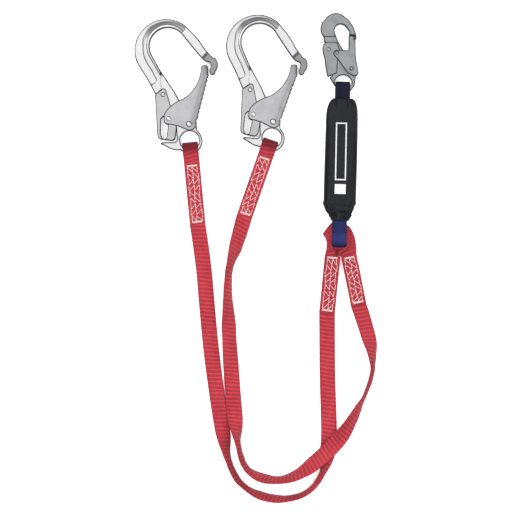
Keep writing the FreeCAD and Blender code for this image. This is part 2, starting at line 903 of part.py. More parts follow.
def sewing(label, place, near, far, rows, width):
    """White thread on both faces of a doubled strap: a dense bar at each end and zigzag between.

    near and far are the (length, height) of the strap's middle at the two ends of the sewing.
    """
    thread = size("thread_wide")
    high = size("thread_high")
    length = math.hypot(far[0] - near[0], far[1] - near[1])
    slope = math.degrees(math.atan2(far[1] - near[1], near[0] - far[0]))
    stitches = []
    for side in (1, -1):
        level = TAB_HALF + 0.05 if side > 0 else -TAB_HALF - 0.05 - high
        for bar in (0.0, 2.2, length - 2.2, length):
            stitch = Part.makeBox(width, thread, high, Vector(-width / 2, -bar - thread / 2, level))
            stitches.append(stitch)
        pitch = (length - 10.0) / rows
        for row in range(rows):
            for column in range(4):
                lean = 1 if column % 2 else -1
                centre_x = (column - 1.5) * width / 4
                centre_y = -(5.0 + (row + 0.5) * pitch)
                run = pitch * 0.78
                stitch = Part.makeBox(thread, run, high, Vector(-thread / 2, -run / 2, level))
                stitch.rotate(Vector(0, 0, 0), Vector(0, 0, 1), lean * 24.0)
                stitch.translate(Vector(centre_x, centre_y, 0))
                stitches.append(stitch)
    feature = doc.addObject("Part::Feature", label)
    feature.Label = label
    feature.Shape = Part.makeCompound(stitches)
    tilt = FreeCAD.Rotation(Vector(1, 0, 0), -slope)
    lift = FreeCAD.Placement(Vector(0, near[0], near[1]), tilt)
    feature.Placement = place.multiply(lift)
    nodes.append(feature)


def pack_end_eye(number, x, y, turn, level, end, ring, hole):
    """The sewn eye on the pack: a flat bunched ring through the navy loop, running into its tab.

    ring and hole are outlines in the lanyard's frame; level is the ring's middle height, and end
    is the (length, height) where the tab stops.
    """
    body = new_body("leg_%s_pack_eye" % number, x, y, 0, turn)
    inverse = sewn_place(x, y, turn, 0).inverse()

    def local(points):
        carried = [inverse.multVec(Vector(px, py, 0)) for px, py in points]
        flat = [(point.x, point.y) for point in carried]
        return outline(flat[0], *flat[1:])

    ring_pad = pad(body, local(ring), "Sizes.ring_thick")
    ring_pad.Profile[0].setExpression("AttachmentOffset.Base.z", str(level))
    doc.recompute()
    hole_cut = body.newObject("PartDesign::Pocket", body.Label + "_hole")
    hole_cut.Profile = sketch_on(body, "XY_Plane", local(hole))
    hole_cut.SideType = "Symmetric"
    hole_cut.Type = "ThroughAll"
    middle = size("pack_mid_height")
    tab = outline(
        (2.0, level + size("ring_thick") / 2),
        (-8.0, middle + TAB_HALF - 0.6),
        (end[0], end[1] + TAB_HALF),
        (end[0], end[1] - TAB_HALF),
        (-8.0, middle - TAB_HALF - 0.6),
        (2.0, level - size("ring_thick") / 2),
    )
    pad(body, tab, "Sizes.pack_eye_wide", "YZ_Plane")
    return body


RING_ONE = (
    (118.4, -150.0), (115.6, -128.0), (114.7, -112.8), (122.0, -105.6), (157.0, -105.6),
    (164.0, -112.0), (165.0, -126.0), (158.0, -139.0), (146.0, -145.2), (143.2, -150.0),
)
RING_TWO = (
    (144.8, -150.6), (143.8, -146.0), (128.0, -143.4), (119.6, -130.0), (120.0, -114.0),
    (128.0, -105.4), (158.0, -104.4), (165.4, -110.6), (169.6, -122.0), (170.0, -146.0),
)
RING_HOLE = ((128.8, -124.6), (156.6, -124.6), (156.6, -136.6), (128.8, -136.6))


def rounded_route(points):
    """Straight runs joined by tangent arcs, each as large as its two runs allow."""
    corners = [Vector(*point) for point in points]
    edges = []
    radii = []
    here = corners[0]
    for before, corner, after in zip(corners, corners[1:], corners[2:]):
        back = before - corner
        ahead = after - corner
        shorter = min(back.Length, ahead.Length)
        turn = math.pi - back.getAngle(ahead)
        tangent = 0.45 * shorter
        radii.append(tangent / math.tan(turn / 2))
        back.normalize()
        ahead.normalize()
        start = corner + back * tangent
        finish = corner + ahead * tangent
        bulge = back + ahead
        bulge.normalize()
        apex = corner + bulge * (radii[-1] / math.cos(turn / 2) - radii[-1])
        edges.append(Part.LineSegment(here, start).toShape())
        edges.append(Part.Arc(start, apex, finish).toShape())
        here = finish
    edges.append(Part.LineSegment(here, corners[-1]).toShape())
    return Part.Wire(edges), radii


def flat_cord(label, points):
    """Flat webbing swept along its route, lying on its broad face."""
    spine, radii = rounded_route(points)
    wide = size("web_wide")
    thick = size("web_thick")
    start = Vector(*points[0])
    ahead = Vector(*points[1]) - start
    ahead.normalize()
    across = ahead.cross(Vector(0, 0, 1))
    across.normalize()
    upward = across.cross(ahead)
    half_x = across * (wide / 2)
    half_z = upward * (thick / 2)
    corners = [
        start + half_x + half_z,
        start - half_x + half_z,
        start - half_x - half_z,
        start + half_x - half_z,
    ]
    section = Part.makePolygon(corners + corners[:1])
    sweep = Part.BRepOffsetAPI.MakePipeShell(spine)
    sweep.setBiNormalMode(Vector(0, 0, 1))
    sweep.add(section)
    sweep.build()
    sweep.makeSolid()
    feature = doc.addObject("Part::Feature", label)
    feature.Label = label
    feature.Shape = sweep.shape()
    nodes.append(feature)
    expected = wide * thick * spine.Length
    print("%s: length %.1f mm, volume %.4f of section x length" % (
        label, spine.Length, feature.Shape.Volume / expected))
    print("  radii: " + ", ".join("%.0f" % radius for radius in radii))


LEG_ONE = (
    (-86.9, -99.0, 3.7), (-77.8, -159.0, 1.8), (-72.9, -220.3, 1.8), (-66.4, -293.2, 1.8),
    (-58.5, -363.0, 1.8), (-51.0, -431.1, 1.8), (-42.5, -479.0, 1.8), (-20.0, -517.0, 1.8),
    (16.0, -538.0, 1.8), (58.0, -542.5, 1.8), (93.0, -531.0, 1.8), (114.5, -503.0, 1.8),
    (124.4, -463.5, 1.8), (125.6, -423.0, 1.8), (123.0, -352.0, 1.8), (122.4, -293.0, 2.2),
    (122.1, -242.4, 3.7),
)

LEG_TWO = (
    (-12.3, -88.2, 3.7), (-23.4, -128.0, 1.8), (-35.6, -168.6, 1.8), (-38.2, -214.0, 1.8),
    (-36.6, -269.0, 1.8), (-30.0, -342.0, 1.8), (-22.2, -415.0, 1.8), (-15.0, -460.0, 1.8),
    (-4.0, -489.0, 1.8), (17.0, -508.4, 1.8), (49.0, -511.6, 1.8), (80.0, -500.0, 5.0),
    (106.0, -480.0, 8.6), (138.0, -451.0, 8.6), (162.0, -417.0, 4.0), (181.0, -378.0, 1.8),
    (198.6, -331.0, 1.8), (191.0, -279.0, 1.8), (173.8, -229.6, 3.7),
)


HOOK_EYES = (
    ("1", "eye_one_x", "eye_one_y", "eye_one_turn"),
    ("2", "eye_two_x", "eye_two_y", "eye_two_turn"),
)
# The pack ends: number, cells for the place, the ring's height, its outline, and the tab's end.
PACK_EYES = (
    ("1", "tab_one_x", "tab_one_y", "tab_one_turn", 14.4, RING_ONE, (-92.0, 3.7)),
    ("2", "tab_two_x", "tab_two_y", "tab_two_turn", 11.6, RING_TWO, (-80.0, 3.7)),
)


def hook_ends():
    slope = (HOOK_TAB_END[1] - HOOK_TAB_NECK[1]) / (HOOK_TAB_END[0] - HOOK_TAB_NECK[0])
    near = (HOOK_TAB_NECK[0] - 1.0, HOOK_TAB_NECK[1] - slope)
    far = (HOOK_TAB_END[0] + 2.0, HOOK_TAB_END[1] + 2.0 * slope)
    for number, x, y, turn in HOOK_EYES:
        hook_end_eye(number, x, y, turn)
        place = sewn_place(x, y, turn, size("hook_mid_height"))
        sewing("leg_%s_hook_stitching" % number, place, near, far, 9, 19.0)


def pack_ends():
    top = size("pack_mid_height") - 0.6
    for number, x, y, turn, level, ring, end in PACK_EYES:
        pack_end_eye(number, x, y, turn, level, end, ring, RING_HOLE)
        slope = (end[1] - top) / (end[0] + 8.0)
        near = (-9.5, top - 1.5 * slope)
        far = (end[0] + 2.0, end[1] + 2.0 * slope)
        sewing("leg_%s_pack_stitching" % number, sewn_place(x, y, turn, 0), near, far, 8, 17.0)


# ---------------------------------------------------------------- the whole lanyard

for number, x, y, turn in HOOKS:
    rebar_hook(number, x, y, turn)
snap_hook()
shock_pack()
hook_ends()
pack_ends()
flat_cord("leg_1_webbing", LEG_ONE)
flat_cord("leg_2_webbing", LEG_TWO)
doc.recompute()

for item in doc.Objects:
    if "Invalid" in item.State or "Error" in item.State:
        raise RuntimeError("%s: %s" % (item.Label, item.State))
for node in nodes:
    if node.Shape.isNull() or not node.Shape.isValid():
        raise RuntimeError("%s has no valid shape" % node.Label)
for node in nodes:
    node.Shape.exportStep("parts/%s.step" % node.Label)
    box = node.Shape.BoundBox
    print("%-28s solids %2d  x %.1f..%.1f  y %.1f..%.1f  z %.2f..%.2f" % (
        node.Label, len(node.Shape.Solids), box.XMin, box.XMax, box.YMin, box.YMax, box.ZMin, box.ZMax))
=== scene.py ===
import math

import bpy
import numpy as np
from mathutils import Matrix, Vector


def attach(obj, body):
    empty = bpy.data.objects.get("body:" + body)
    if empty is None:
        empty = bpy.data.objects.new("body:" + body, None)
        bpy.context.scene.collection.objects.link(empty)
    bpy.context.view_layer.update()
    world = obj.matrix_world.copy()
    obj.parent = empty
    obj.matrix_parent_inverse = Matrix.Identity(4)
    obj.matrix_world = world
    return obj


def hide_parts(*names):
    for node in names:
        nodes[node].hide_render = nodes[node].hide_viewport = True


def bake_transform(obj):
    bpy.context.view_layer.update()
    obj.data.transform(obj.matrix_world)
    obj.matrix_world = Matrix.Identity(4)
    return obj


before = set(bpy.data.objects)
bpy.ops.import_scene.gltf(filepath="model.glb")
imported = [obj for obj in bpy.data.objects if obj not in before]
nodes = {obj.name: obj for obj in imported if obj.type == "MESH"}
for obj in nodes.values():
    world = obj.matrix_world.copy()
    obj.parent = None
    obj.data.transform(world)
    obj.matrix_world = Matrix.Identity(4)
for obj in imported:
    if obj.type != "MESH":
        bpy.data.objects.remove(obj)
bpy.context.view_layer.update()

# A twin-leg shock absorbing lanyard lying flat on a pale floor. Metres, +Z up.
# Numbers that aren't multiplied by MM are millimetres, degrees or plain shares.

MM = 0.001

# Heights of each part's middle over the floor, and the legs' webbing.
HOOK_MIDDLE = 12.0 * MM
PACK_MIDDLE = 13.0 * MM
WEB_WIDE = 25.4 * MM
WEB_THICK = 2.6 * MM


# ---------------------------------------------------------------- materials

class Surface:
    """A Principled material with a few helpers for wiring procedural textures into it."""

    def __init__(self, name, colour, rough, metal=0.0):
        self.material = bpy.data.materials.new(name)
        self.material.use_nodes = True
        self.tree = self.material.node_tree
        self.shader = self.tree.nodes["Principled BSDF"]
        self.fix("Base Color", (*colour, 1))
        self.fix("Roughness", rough)
        self.fix("Metallic", metal)

    def fix(self, socket, value):
        self.shader.inputs[socket].default_value = value

    def wire(self, socket, value):
        self.link(value, self.shader.inputs[socket])

    def wired(self, socket):
        """What already feeds a socket of the shader."""
        return self.shader.inputs[socket].links[0].from_socket

    def node(self, kind, **inputs):
        made = self.tree.nodes.new("ShaderNode" + kind)
        for name, value in inputs.items():
            made.inputs[name.replace("_", " ")].default_value = value
        return made

    def link(self, source, target):
        self.tree.links.new(source, target)

    def place(self, kind="Object"):
        return self.node("TexCoord").outputs[kind]

    def axes(self, kind):
        split = self.node("SeparateXYZ")
        self.link(self.place(kind), split.inputs[0])
        return split.outputs

    def noise(self, kind, scale, detail):
        mapping = self.node("Mapping")
        mapping.inputs["Scale"].default_value = scale
        self.link(self.place(kind), mapping.inputs["Vector"])
        made = self.node("TexNoise", Scale=1.0, Detail=detail)
        self.link(mapping.outputs["Vector"], made.inputs["Vector"])
        return made.outputs["Fac"]

    def math(self, operation, first, second):
        made = self.node("Math")
        made.operation = operation
        for socket, value in zip(made.inputs, (first, second)):
            if isinstance(value, (int, float)):
                socket.default_value = value
            else:
                self.link(value, socket)
        return made.outputs[0]

    def times(self, first, second):
        return self.math("MULTIPLY", first, second)

    def plus(self, first, second):
        return self.math("ADD", first, second)

    def sine(self, value, rate):
        return self.math("SINE", self.times(value, rate), 0.0)

    def span(self, value, low, high, to_low=0.0, to_high=1.0):
        made = self.node("MapRange", From_Min=low, From_Max=high, To_Min=to_low, To_Max=to_high)
        self.link(value, made.inputs["Value"])
        return made.outputs["Result"]

    def blend(self, factor, first, second):
        made = self.node("Mix")
        made.data_type = "RGBA"
        self.link(factor, made.inputs["Factor"])
        for socket, value in ((made.inputs["A"], first), (made.inputs["B"], second)):
            if isinstance(value, tuple):
                socket.default_value = (*value, 1)
            else:
                self.link(value, socket)
        return made.outputs["Result"]

    def bump(self, height, distance, strength=1.0, under=None):
        made = self.node("Bump", Strength=strength, Distance=distance)
        self.link(height, made.inputs["Height"])
        if under is not None:
            self.link(under, made.inputs["Normal"])
        return made.outputs["Normal"]

    def painted(self, name):
        """A value that the mesh carries at each vertex; 0 where the mesh has none."""
        made = self.node("Attribute")
        made.attribute_name = name
        return made.outputs["Fac"]


# How dark the painted shade makes metal on its upright sides and along its rims, as shares of its own
# colour, how much rougher its scuffs are, and the tint that keeps it dark where it is seen edge on.
SIDE_SHADE_SHARE = 0.6
RIM_SHADE_SHARE = 0.05
SCUFF_ROUGHNESS = 0.08
EDGE_TINT = (0.25, 0.25, 0.26, 1)


def metal(name, colour, rough, grain, blotch):
    """Bare metal: faces with a fine grain, slow mottling and scuffs, with painted shade darkening the sides
    and the rims.
    """
    surface = Surface(name, colour, rough, 1.0)
    fine = surface.noise("Object", (900, 900, 900), 4.0)
    slow = surface.noise("Object", (70, 70, 70), 3.0)
    scuff = surface.noise("Object", (160, 900, 300), 6.0)
    scuffed = surface.span(scuff, 0.52, 0.78)
    dark = tuple(channel * (1 - blotch) for channel in colour)
    tone = surface.blend(surface.span(slow, 0.35, 0.65), colour, dark)
    # Painted shade: upright faces are painted a darker copy of the colour, and the marked rims near black, as
    # a painted dark reflection.
    upright = surface.span(surface.math("ABSOLUTE", surface.axes("Normal")[2], 0.0), 0.72, 0.99)
    side = tuple(channel * SIDE_SHADE_SHARE for channel in colour)
    edge = tuple(channel * RIM_SHADE_SHARE for channel in colour)
    rim_shade = surface.span(surface.painted("rim_shade"), 0.04, 0.22)
    surface.wire("Base Color", surface.blend(rim_shade, surface.blend(upright, side, tone), edge))
    surface.fix("Specular Tint", EDGE_TINT)
    worn = surface.times(scuffed, SCUFF_ROUGHNESS)
    mottled = surface.span(slow, 0.3, 0.7, rough * 0.8, rough * 1.25)
    surface.wire("Roughness", surface.plus(mottled, worn))
    surface.wire("Normal", surface.bump(fine, grain * MM, 0.6))
    return surface


def forged_aluminium():
    """Polished forging, with painted shade on its sunk web and along its nose's step, and its nose face
    painted darker; these are also rougher. The mesh carries the mask.
    """
    surface = metal("forged_aluminium", (0.405, 0.405, 0.409), 0.22, 0.012, 0.10)
    base = surface.wired("Base Color")
    rough = surface.wired("Roughness")
    sunk_shade_mask = surface.painted("sunk_shade")
    # Painted shade: the sunk web and the band by the nose's step are painted dark grey, and the nose face
    # darker.
    surface.wire("Base Color", surface.blend(sunk_shade_mask, base, (0.085, 0.086, 0.092)))
    dull = surface.times(sunk_shade_mask, 0.28)
    surface.wire("Roughness", surface.plus(rough, dull))
    return surface.material


def pressed_gate():
    """Pressed steel that falls into shade towards the ribbed fold; the mesh carries the fold mask."""
    surface = metal("pressed_gate", (0.262, 0.262, 0.270), 0.34, 0.02, 0.14)
    base = surface.wired("Base Color")
    fold = surface.painted("fold")
    bands = surface.times(surface.sine(fold, 17.0), 0.16)
    shade = surface.times(fold, surface.plus(bands, 0.74))
    surface.wire("Base Color", surface.blend(shade, base, (0.10, 0.10, 0.105)))
    return surface.material


# The yarns' pitch in webbing and in the pack's cover.
YARN_ACROSS = 1.5 * MM
YARN_ALONG = 1.3 * MM
COVER_YARN = 0.9 * MM


def woven(name, bright, dark, rib_pitch, rib_depth, sheen=0.25, rough=0.85, gloss=0.3):
    """Webbing: UV runs in metres, across then along. Weft ribs over fine crossing yarns, each rib
    carrying a painted highlight as a thin light line.

    The mesh carries the painted shade mask, for places that lie in shade.
    """
    surface = Surface(name, bright, rough)
    across, along, _ = surface.axes("UV")
    wobble = surface.noise("UV", (60, 90, 1), 3.0)
    slant = surface.times(across, 0.16)
    drift = surface.times(surface.math("SUBTRACT", wobble, 0.5), 3.2 * MM)
    shifted = surface.plus(surface.plus(along, drift), slant)
    rib = surface.math("POWER", surface.span(surface.sine(shifted, math.tau / rib_pitch), -1.0, 1.0), 3.0)
    yarn_across = surface.sine(across, math.tau / YARN_ACROSS)
    yarn_along = surface.sine(shifted, math.tau / YARN_ALONG)
    cross = surface.times(yarn_across, yarn_along)
    slow = surface.noise("UV", (40, 14, 1), 2.0)
    # Painted highlight: each rib's crest is painted towards the light colour.
    shade = surface.plus(surface.times(rib, 0.75), surface.times(cross, 0.14))
    shade = surface.plus(shade, surface.span(slow, 0.3, 0.7, -0.45, 0.0))
    cloth = surface.blend(surface.span(shade, -0.7, 0.7), dark, bright)
    # Painted shade: where the mesh's mask is set, the cloth is painted towards a third of the dark colour.
    painted_shade = tuple(channel * 0.35 for channel in dark)
    surface.wire("Base Color", surface.blend(surface.painted("painted_shade"), cloth, painted_shade))
    coarse = surface.bump(rib, rib_depth * MM, 0.4)
    surface.wire("Normal", surface.bump(cross, 0.16 * MM, 0.7, coarse))
    surface.fix("Sheen Weight", sheen)
    surface.fix("Sheen Roughness", 0.5)
    surface.fix("Specular IOR Level", gloss)
    return surface.material


def thread_material():
    surface = Surface("white_thread", (0.86, 0.83, 0.80), 0.6)
    fuzz = surface.noise("Object", (1500, 1500, 1500), 2.0)
    surface.wire("Base Color", surface.blend(fuzz, (0.80, 0.78, 0.75), (0.55, 0.47, 0.46)))
    surface.wire("Normal", surface.bump(fuzz, 0.1 * MM, 0.8))
    return surface.material


def cover_material():
    """Black fabric: a fine plain weave, blotched, with a slight gloss."""
    surface = Surface("black_cover", (0.018, 0.019, 0.022), 0.5)
    x, y, _ = surface.axes("Object")
    rate = math.tau / COVER_YARN
    cross = surface.times(surface.sine(x, rate), surface.sine(y, rate))
    slow = surface.noise("Object", (45, 14, 45), 4.0)
    tone = surface.span(slow, 0.3, 0.7)
    surface.wire("Base Color", surface.blend(tone, (0.0018, 0.0022, 0.0032), (0.0058, 0.0066, 0.0088)))
    surface.wire("Roughness", surface.span(slow, 0.3, 0.7, 0.34, 0.5))
    soft = surface.bump(slow, 1.2 * MM, 0.5)
    surface.wire("Normal", surface.bump(cross, 0.08 * MM, 0.5, soft))
    surface.fix("Specular IOR Level", 0.14)
    return surface.material


def print_material():
    surface = Surface("pale_print", (0.78, 0.78, 0.80), 0.55)
    wear = surface.noise("Object", (700, 700, 700), 5.0)
    worn = surface.span(wear, 0.5, 0.75)
    surface.wire("Base Color", surface.blend(worn, (0.56, 0.55, 0.58), (0.34, 0.34, 0.36)))
    surface.wire("Normal", surface.bump(wear, 0.05 * MM, 0.5))
    return surface.material


# Light and dark colour of each webbing; the ribs' painted highlights lean to the light one. The lower navy
# loop is given lighter colours than the upper one.
RED = ((0.46, 0.044, 0.060), (0.18, 0.0095, 0.016))
NAVY = ((0.0055, 0.006, 0.024), (0.002, 0.002, 0.009))
LOWER_NAVY = ((0.026, 0.032, 0.125), (0.011, 0.013, 0.058))
UNDYED = ((0.72, 0.70, 0.66), (0.55, 0.53, 0.49))

MATERIALS = {
    "forged_aluminium": forged_aluminium(),
    "pressed_gate": pressed_gate(),
    "pressed_lever": metal("pressed_lever", (0.275, 0.275, 0.278), 0.30, 0.02, 0.14).material,
    "rivet_steel": metal("rivet_steel", (0.42, 0.42, 0.425), 0.24, 0.01, 0.10).material,
    "spring_steel": metal("spring_steel", (0.50, 0.50, 0.52), 0.35, 0.01, 0.2).material,
    "zinc_steel": metal("zinc_steel", (0.172, 0.180, 0.185), 0.40, 0.03, 0.12).material,
    "red_webbing": woven("red_webbing", *RED, 6.4 * MM, 0.7, 0.08, 0.85, 0.15),
    "navy_webbing": woven("navy_webbing", *NAVY, 4.0 * MM, 0.25, 0.03, 0.6, 0.10),
    "navy_webbing_foot": woven("navy_webbing_foot", *LOWER_NAVY, 4.0 * MM, 0.25, 0.02, 0.6, 0.06),
    "core_webbing": woven("core_webbing", *UNDYED, 4.0 * MM, 0.3),
    "white_thread": thread_material(),
    "black_cover": cover_material(),
    "black_label": print_material(),
}


def only_material(obj, name):
    obj.data.materials.clear()
    obj.data.materials.append(MATERIALS[name])


def dress(obj, slot_name, body=None, material=None):
    """Give a piece its material and the body it rides on."""
    only_material(obj, material or slot_name)
    if body:
        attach(obj, body)
    return obj


def dress_inside(node_name, slot_name):
    """Give a CAD piece that stays as it is its material."""
    only_material(nodes[node_name], slot_name)


def spots(obj):
    """A piece's vertices, in metres."""
    return np.array([v.co for v in obj.data.vertices])


def levelness(mesh):
    """How level the surface lies at each vertex: 1 where it faces straight up or down."""
    return np.abs(np.array([v.normal for v in mesh.vertices])[:, 2])


def placed(name, data):
    """A new object in the scene that holds a mesh, curve, light or camera."""
    obj = bpy.data.objects.new(name, data)
    bpy.context.scene.collection.objects.link(obj)
    return obj


def mesh_as_seen(obj):
    """A new mesh of the object with its modifiers or curve settings worked out."""
    bpy.context.view_layer.update()
    return bpy.data.meshes.new_from_object(obj.evaluated_get(bpy.context.evaluated_depsgraph_get()))


def mesh_object(name, verts, faces, uvs=None):
    mesh = bpy.data.meshes.new(name)
    mesh.from_pydata([tuple(v) for v in verts], [], [tuple(f) for f in faces])
    if uvs is not None:
        layer = mesh.uv_layers.new(name="UVMap")
        loops = np.array([loop.vertex_index for loop in mesh.loops])
        layer.data.foreach_set("uv", np.asarray(uvs)[loops].astype(np.float32).ravel())
    mesh.shade_smooth()
    mesh.validate()
    return placed(name, mesh)


# ---------------------------------------------------------------- metal parts

# How far the painted shade along a rim reaches in from a piece's edge.
FORGING_RIM = 3.2 * MM
PLATE_RIM = 2.5 * MM
RIVET_RIM = 0.6 * MM


def refined(node_name, name, voxel, passes, reach=PLATE_RIM):
    """A rounded copy of a CAD piece: remeshed finely and smoothed, with its rims marked for painted shade."""
    source = nodes[node_name]
    mesh = source.data.copy()
    mesh.transform(source.matrix_world)
    mesh.materials.clear()
    obj = placed(name, mesh)
    remesh = obj.modifiers.new("remesh", "REMESH")
    remesh.mode = "VOXEL"
    remesh.voxel_size = voxel
    smooth = obj.modifiers.new("smooth", "SMOOTH")
    smooth.factor = 0.5
    smooth.iterations = passes
    final = mesh_as_seen(obj)
    obj.modifiers.clear()
    obj.data = final
    final.name = name
    final.shade_smooth()
    mark_rim_shade(final, max(round((reach / voxel) ** 2), 1))
    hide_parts(node_name)
    return obj


def hook_local(points, at, turn):
    """Points of the row frame carried into a hook's own plane."""
    cos, sin = math.cos(math.radians(turn)), math.sin(math.radians(turn))
    x, y = points[:, 0] - at[0] * MM, points[:, 1] - at[1] * MM
    return np.stack([cos * x + sin * y, -sin * x + cos * y], axis=1) / MM


# Each scaffold hook's origin, which is its eye's centre, and its turn.
HOOKS = {
    "1": ((-99.8, 37.3), 29.0),
    "2": ((32.9, 41.3), 23.2),
}
# In the hook's own plane: the web lies below SUNK_LEVEL, above HEAD_FLOOR and left of WEB_RIGHT. The
# machined nose starts at the NOSE_STEP line, right of NOSE_LEFT, with a band of painted shade beside it.
SUNK_LEVEL = 6.3 * MM
HEAD_FLOOR = 110.0
WEB_RIGHT = 82.0
NOSE_LEFT = 78.0
NOSE_STEP = ((82.9, 105.8), (99.1, 111.5))
NOSE_BAND = 2.4


def paint(mesh, name, values):
    """Store a value at each vertex, for a material to read."""
    attribute = mesh.attributes.new(name, "FLOAT", "POINT")
    attribute.data.foreach_set("value", np.asarray(values, np.float32))


def smooth_step(value, low, high):
    part = np.clip((value - low) / (high - low), 0, 1)
    return part * part * (3 - 2 * part)


def mark_rim_shade(mesh, rounds):
    """Mark the bevels and a little of the faces beside them, for the painted shade that turns a polished
    edge dark.

    The walls below a bevel are left out, so that they take only the painted side shade.
    """
    values = 1 - levelness(mesh)
    ends = np.empty(2 * len(mesh.edges), int)
    mesh.edges.foreach_get("vertices", ends)
    first, second = ends.reshape(-1, 2).T
    size = len(values)
    shared = np.bincount(ends, minlength=size)
    for _ in range(rounds):
        around = np.bincount(first, values[second], size) + np.bincount(second, values[first], size)
        values = 0.5 * values + 0.5 * around / shared
    paint(mesh, "rim_shade", values * (1 - smooth_step(values, 0.6, 0.85)))


def mark_sunk_shade(obj, at, turn):
    """Mark the painted shade on the sunk web, most at the crown, and on a band along the nose's step; the
    nose face is marked darker too.
    """
    points = spots(obj)
    x, y = hook_local(points, at, turn).T
    deep = np.abs(points[:, 2] - HOOK_MIDDLE)
    level = levelness(obj.data)
    web = smooth_step(SUNK_LEVEL - deep, 0, 0.35 * MM) * smooth_step(level, 0.6, 0.9)
    web = web * (y > HEAD_FLOOR) * (x < WEB_RIGHT)
    crown = smooth_step(x, 6.0, 32.0) * (1 - 0.4 * smooth_step(x, 58.0, 80.0))
    sunk_shade = web * (0.08 + 0.87 * crown)
    (ax, ay), (bx, by) = NOSE_STEP
    run = math.hypot(bx - ax, by - ay)
    over = ((x - ax) * -(by - ay) + (y - ay) * (bx - ax)) / run
    nose = (x > NOSE_LEFT) & (level > 0.5)
    sunk_shade = np.where(nose & (over < NOSE_BAND), 0.78, sunk_shade)
    sunk_shade = np.where(nose & (np.abs(over) < NOSE_BAND), 1.1, sunk_shade)
    paint(obj.data, "sunk_shade", sunk_shade)


# The gate's thumb edge in the hook's own plane, how far its fold reaches and drops, and how far
# its shade reaches. Only what lies outside CHEEK_INSIDE of the middle is moved.
GATE_BACK = ((83.0, 90.0), (77.4, 76.6), (53.0, 50.8), (27.9, 23.9), (24.6, 20.0))
FOLD_REACH = 8.0
FOLD_DROP = 2.2
FOLD_SHADE = 15.0
CHEEK_INSIDE = 3 * MM


def round_gate_fold(obj, at, turn):
    """Roll the gate's cheeks down towards the thumb edge, as a pressed channel's fold does."""
    points = spots(obj)
    local = hook_local(points, at, turn)
    nearest = np.full(len(points), 1e9)
    for start, finish in zip(np.array(GATE_BACK[:-1]), np.array(GATE_BACK[1:])):
        run = finish - start
        part = np.clip(((local - start) @ run) / (run @ run), 0, 1)
        nearest = np.minimum(nearest, np.linalg.norm(local - start - part[:, None] * run, axis=1))
    offset = points[:, 2] - HOOK_MIDDLE
    drop = FOLD_DROP * np.clip(1 - nearest / FOLD_REACH, 0, 1) ** 2 * MM * (np.abs(offset) > CHEEK_INSIDE)
    points[:, 2] = HOOK_MIDDLE + np.sign(offset) * np.maximum(np.abs(offset) - drop, 0)
    obj.data.vertices.foreach_set("co", points.astype(np.float32).ravel())
    obj.data.update()
    paint(obj.data, "fold", np.clip(1 - nearest / FOLD_SHADE, 0, 1))


def rebar_hook(number):
    prefix = "rebar_hook_%s_" % number
    body = refined(prefix + "body", "hook_%s_forging" % number, 0.75 * MM, 8, FORGING_RIM)
    mark_sunk_shade(body, *HOOKS[number])
    dress(body, "forged_aluminium", "hook_" + number)
    gate = refined(prefix + "gate", "hook_%s_pressed_gate" % number, 0.5 * MM, 3)
    round_gate_fold(gate, *HOOKS[number])
    dress(gate, "pressed_gate", "gate_" + number)
    lever = refined(prefix + "lock_lever", "hook_%s_pressed_lever" % number, 0.5 * MM, 3)
    dress(lever, "pressed_lever", "lever_" + number)
    for part in ("gate_rivet", "lever_rivet", "catch_pin"):
        rides = "gate_" if part == "catch_pin" else "hook_"
        piece = refined(prefix + part, "hook_%s_%s" % (number, part), 0.3 * MM, 4, RIVET_RIM)
        dress(piece, "rivet_steel", rides + number)
    for part in ("gate_spring", "lever_spring"):
        dress_inside(prefix + part, "spring_steel")


def snap_hook():
    prefix = "snap_hook_"
    pieces = (
        ("body", "snap_forging", 0.6 * MM, 5, PLATE_RIM, "snap_hook"),
        ("gate", "snap_pressed_gate", 0.45 * MM, 3, PLATE_RIM, "snap_gate"),
        ("lock_lever", "snap_pressed_lever", 0.45 * MM, 3, PLATE_RIM, "snap_lever"),
        ("gate_rivet", "snap_gate_rivet", 0.3 * MM, 4, RIVET_RIM, "snap_hook"),
        ("lever_rivet", "snap_lever_rivet", 0.3 * MM, 4, RIVET_RIM, "snap_hook"),
        ("catch_studs", "snap_catch_studs", 0.3 * MM, 3, RIVET_RIM, "snap_gate"),
    )
    for part, name, voxel, passes, reach, body in pieces:
        dress(refined(prefix + part, name, voxel, passes, reach), "zinc_steel", body)
    for part in ("gate_spring", "lever_spring"):
        dress_inside(prefix + part, "spring_steel")


# ---------------------------------------------------------------- webbing

def smooth_noise(count, step, cell, seed):
    """A smooth random curve: one value a cell of the given length, joined by cosines."""
    local = np.random.default_rng(seed)
    cells = int(count * step / cell) + 3
    values = local.uniform(-1, 1, cells)
    at = np.arange(count) * step / cell
    low = at.astype(int)
    part = at - low
    ease = (1 - np.cos(part * math.pi)) / 2
    return values[low] * (1 - ease) + values[low + 1] * ease


def distances(points):
    """How far along a polyline each of its points lies."""
    return np.concatenate([[0], np.cumsum(np.linalg.norm(np.diff(points, axis=0), axis=1))])


def resampled(points, step):
    """Points evenly spaced along a polyline, and their distance along it."""
    points = np.asarray(points, float)
    along = distances(points)
    count = max(int(along[-1] / step), 8)
    wanted = np.linspace(0, along[-1], count + 1)
    made = np.stack([np.interp(wanted, along, points[:, axis]) for axis in range(3)], axis=1)
    return made, wanted


def unit(vectors):
    return vectors / np.linalg.norm(vectors, axis=1)[:, None]


def ring_faces(count, size, joined=False):
    """Faces between rings of vertices. joined closes the last ring on to the first."""
    index = np.arange(count * size).reshape(count, size)
    if joined:
        index = np.vstack([index, index[:1]])
    after = np.roll(index, -1, axis=1)
    return np.stack([index[:-1], after[:-1], after[1:], index[1:]], axis=-1).reshape(-1, 4)


def tube_faces(count, size):
    """Faces that join rings of vertices into a tube closed at both ends."""
    total = count * size
    caps = [list(range(size)), list(range(total - size, total))[::-1]]
    return ring_faces(count, size)[:, [0, 3, 2, 1]].tolist() + caps


# Places across a strap, from one edge at -1 to the other at 1.
ACROSS = np.linspace(-1, 1, 13)


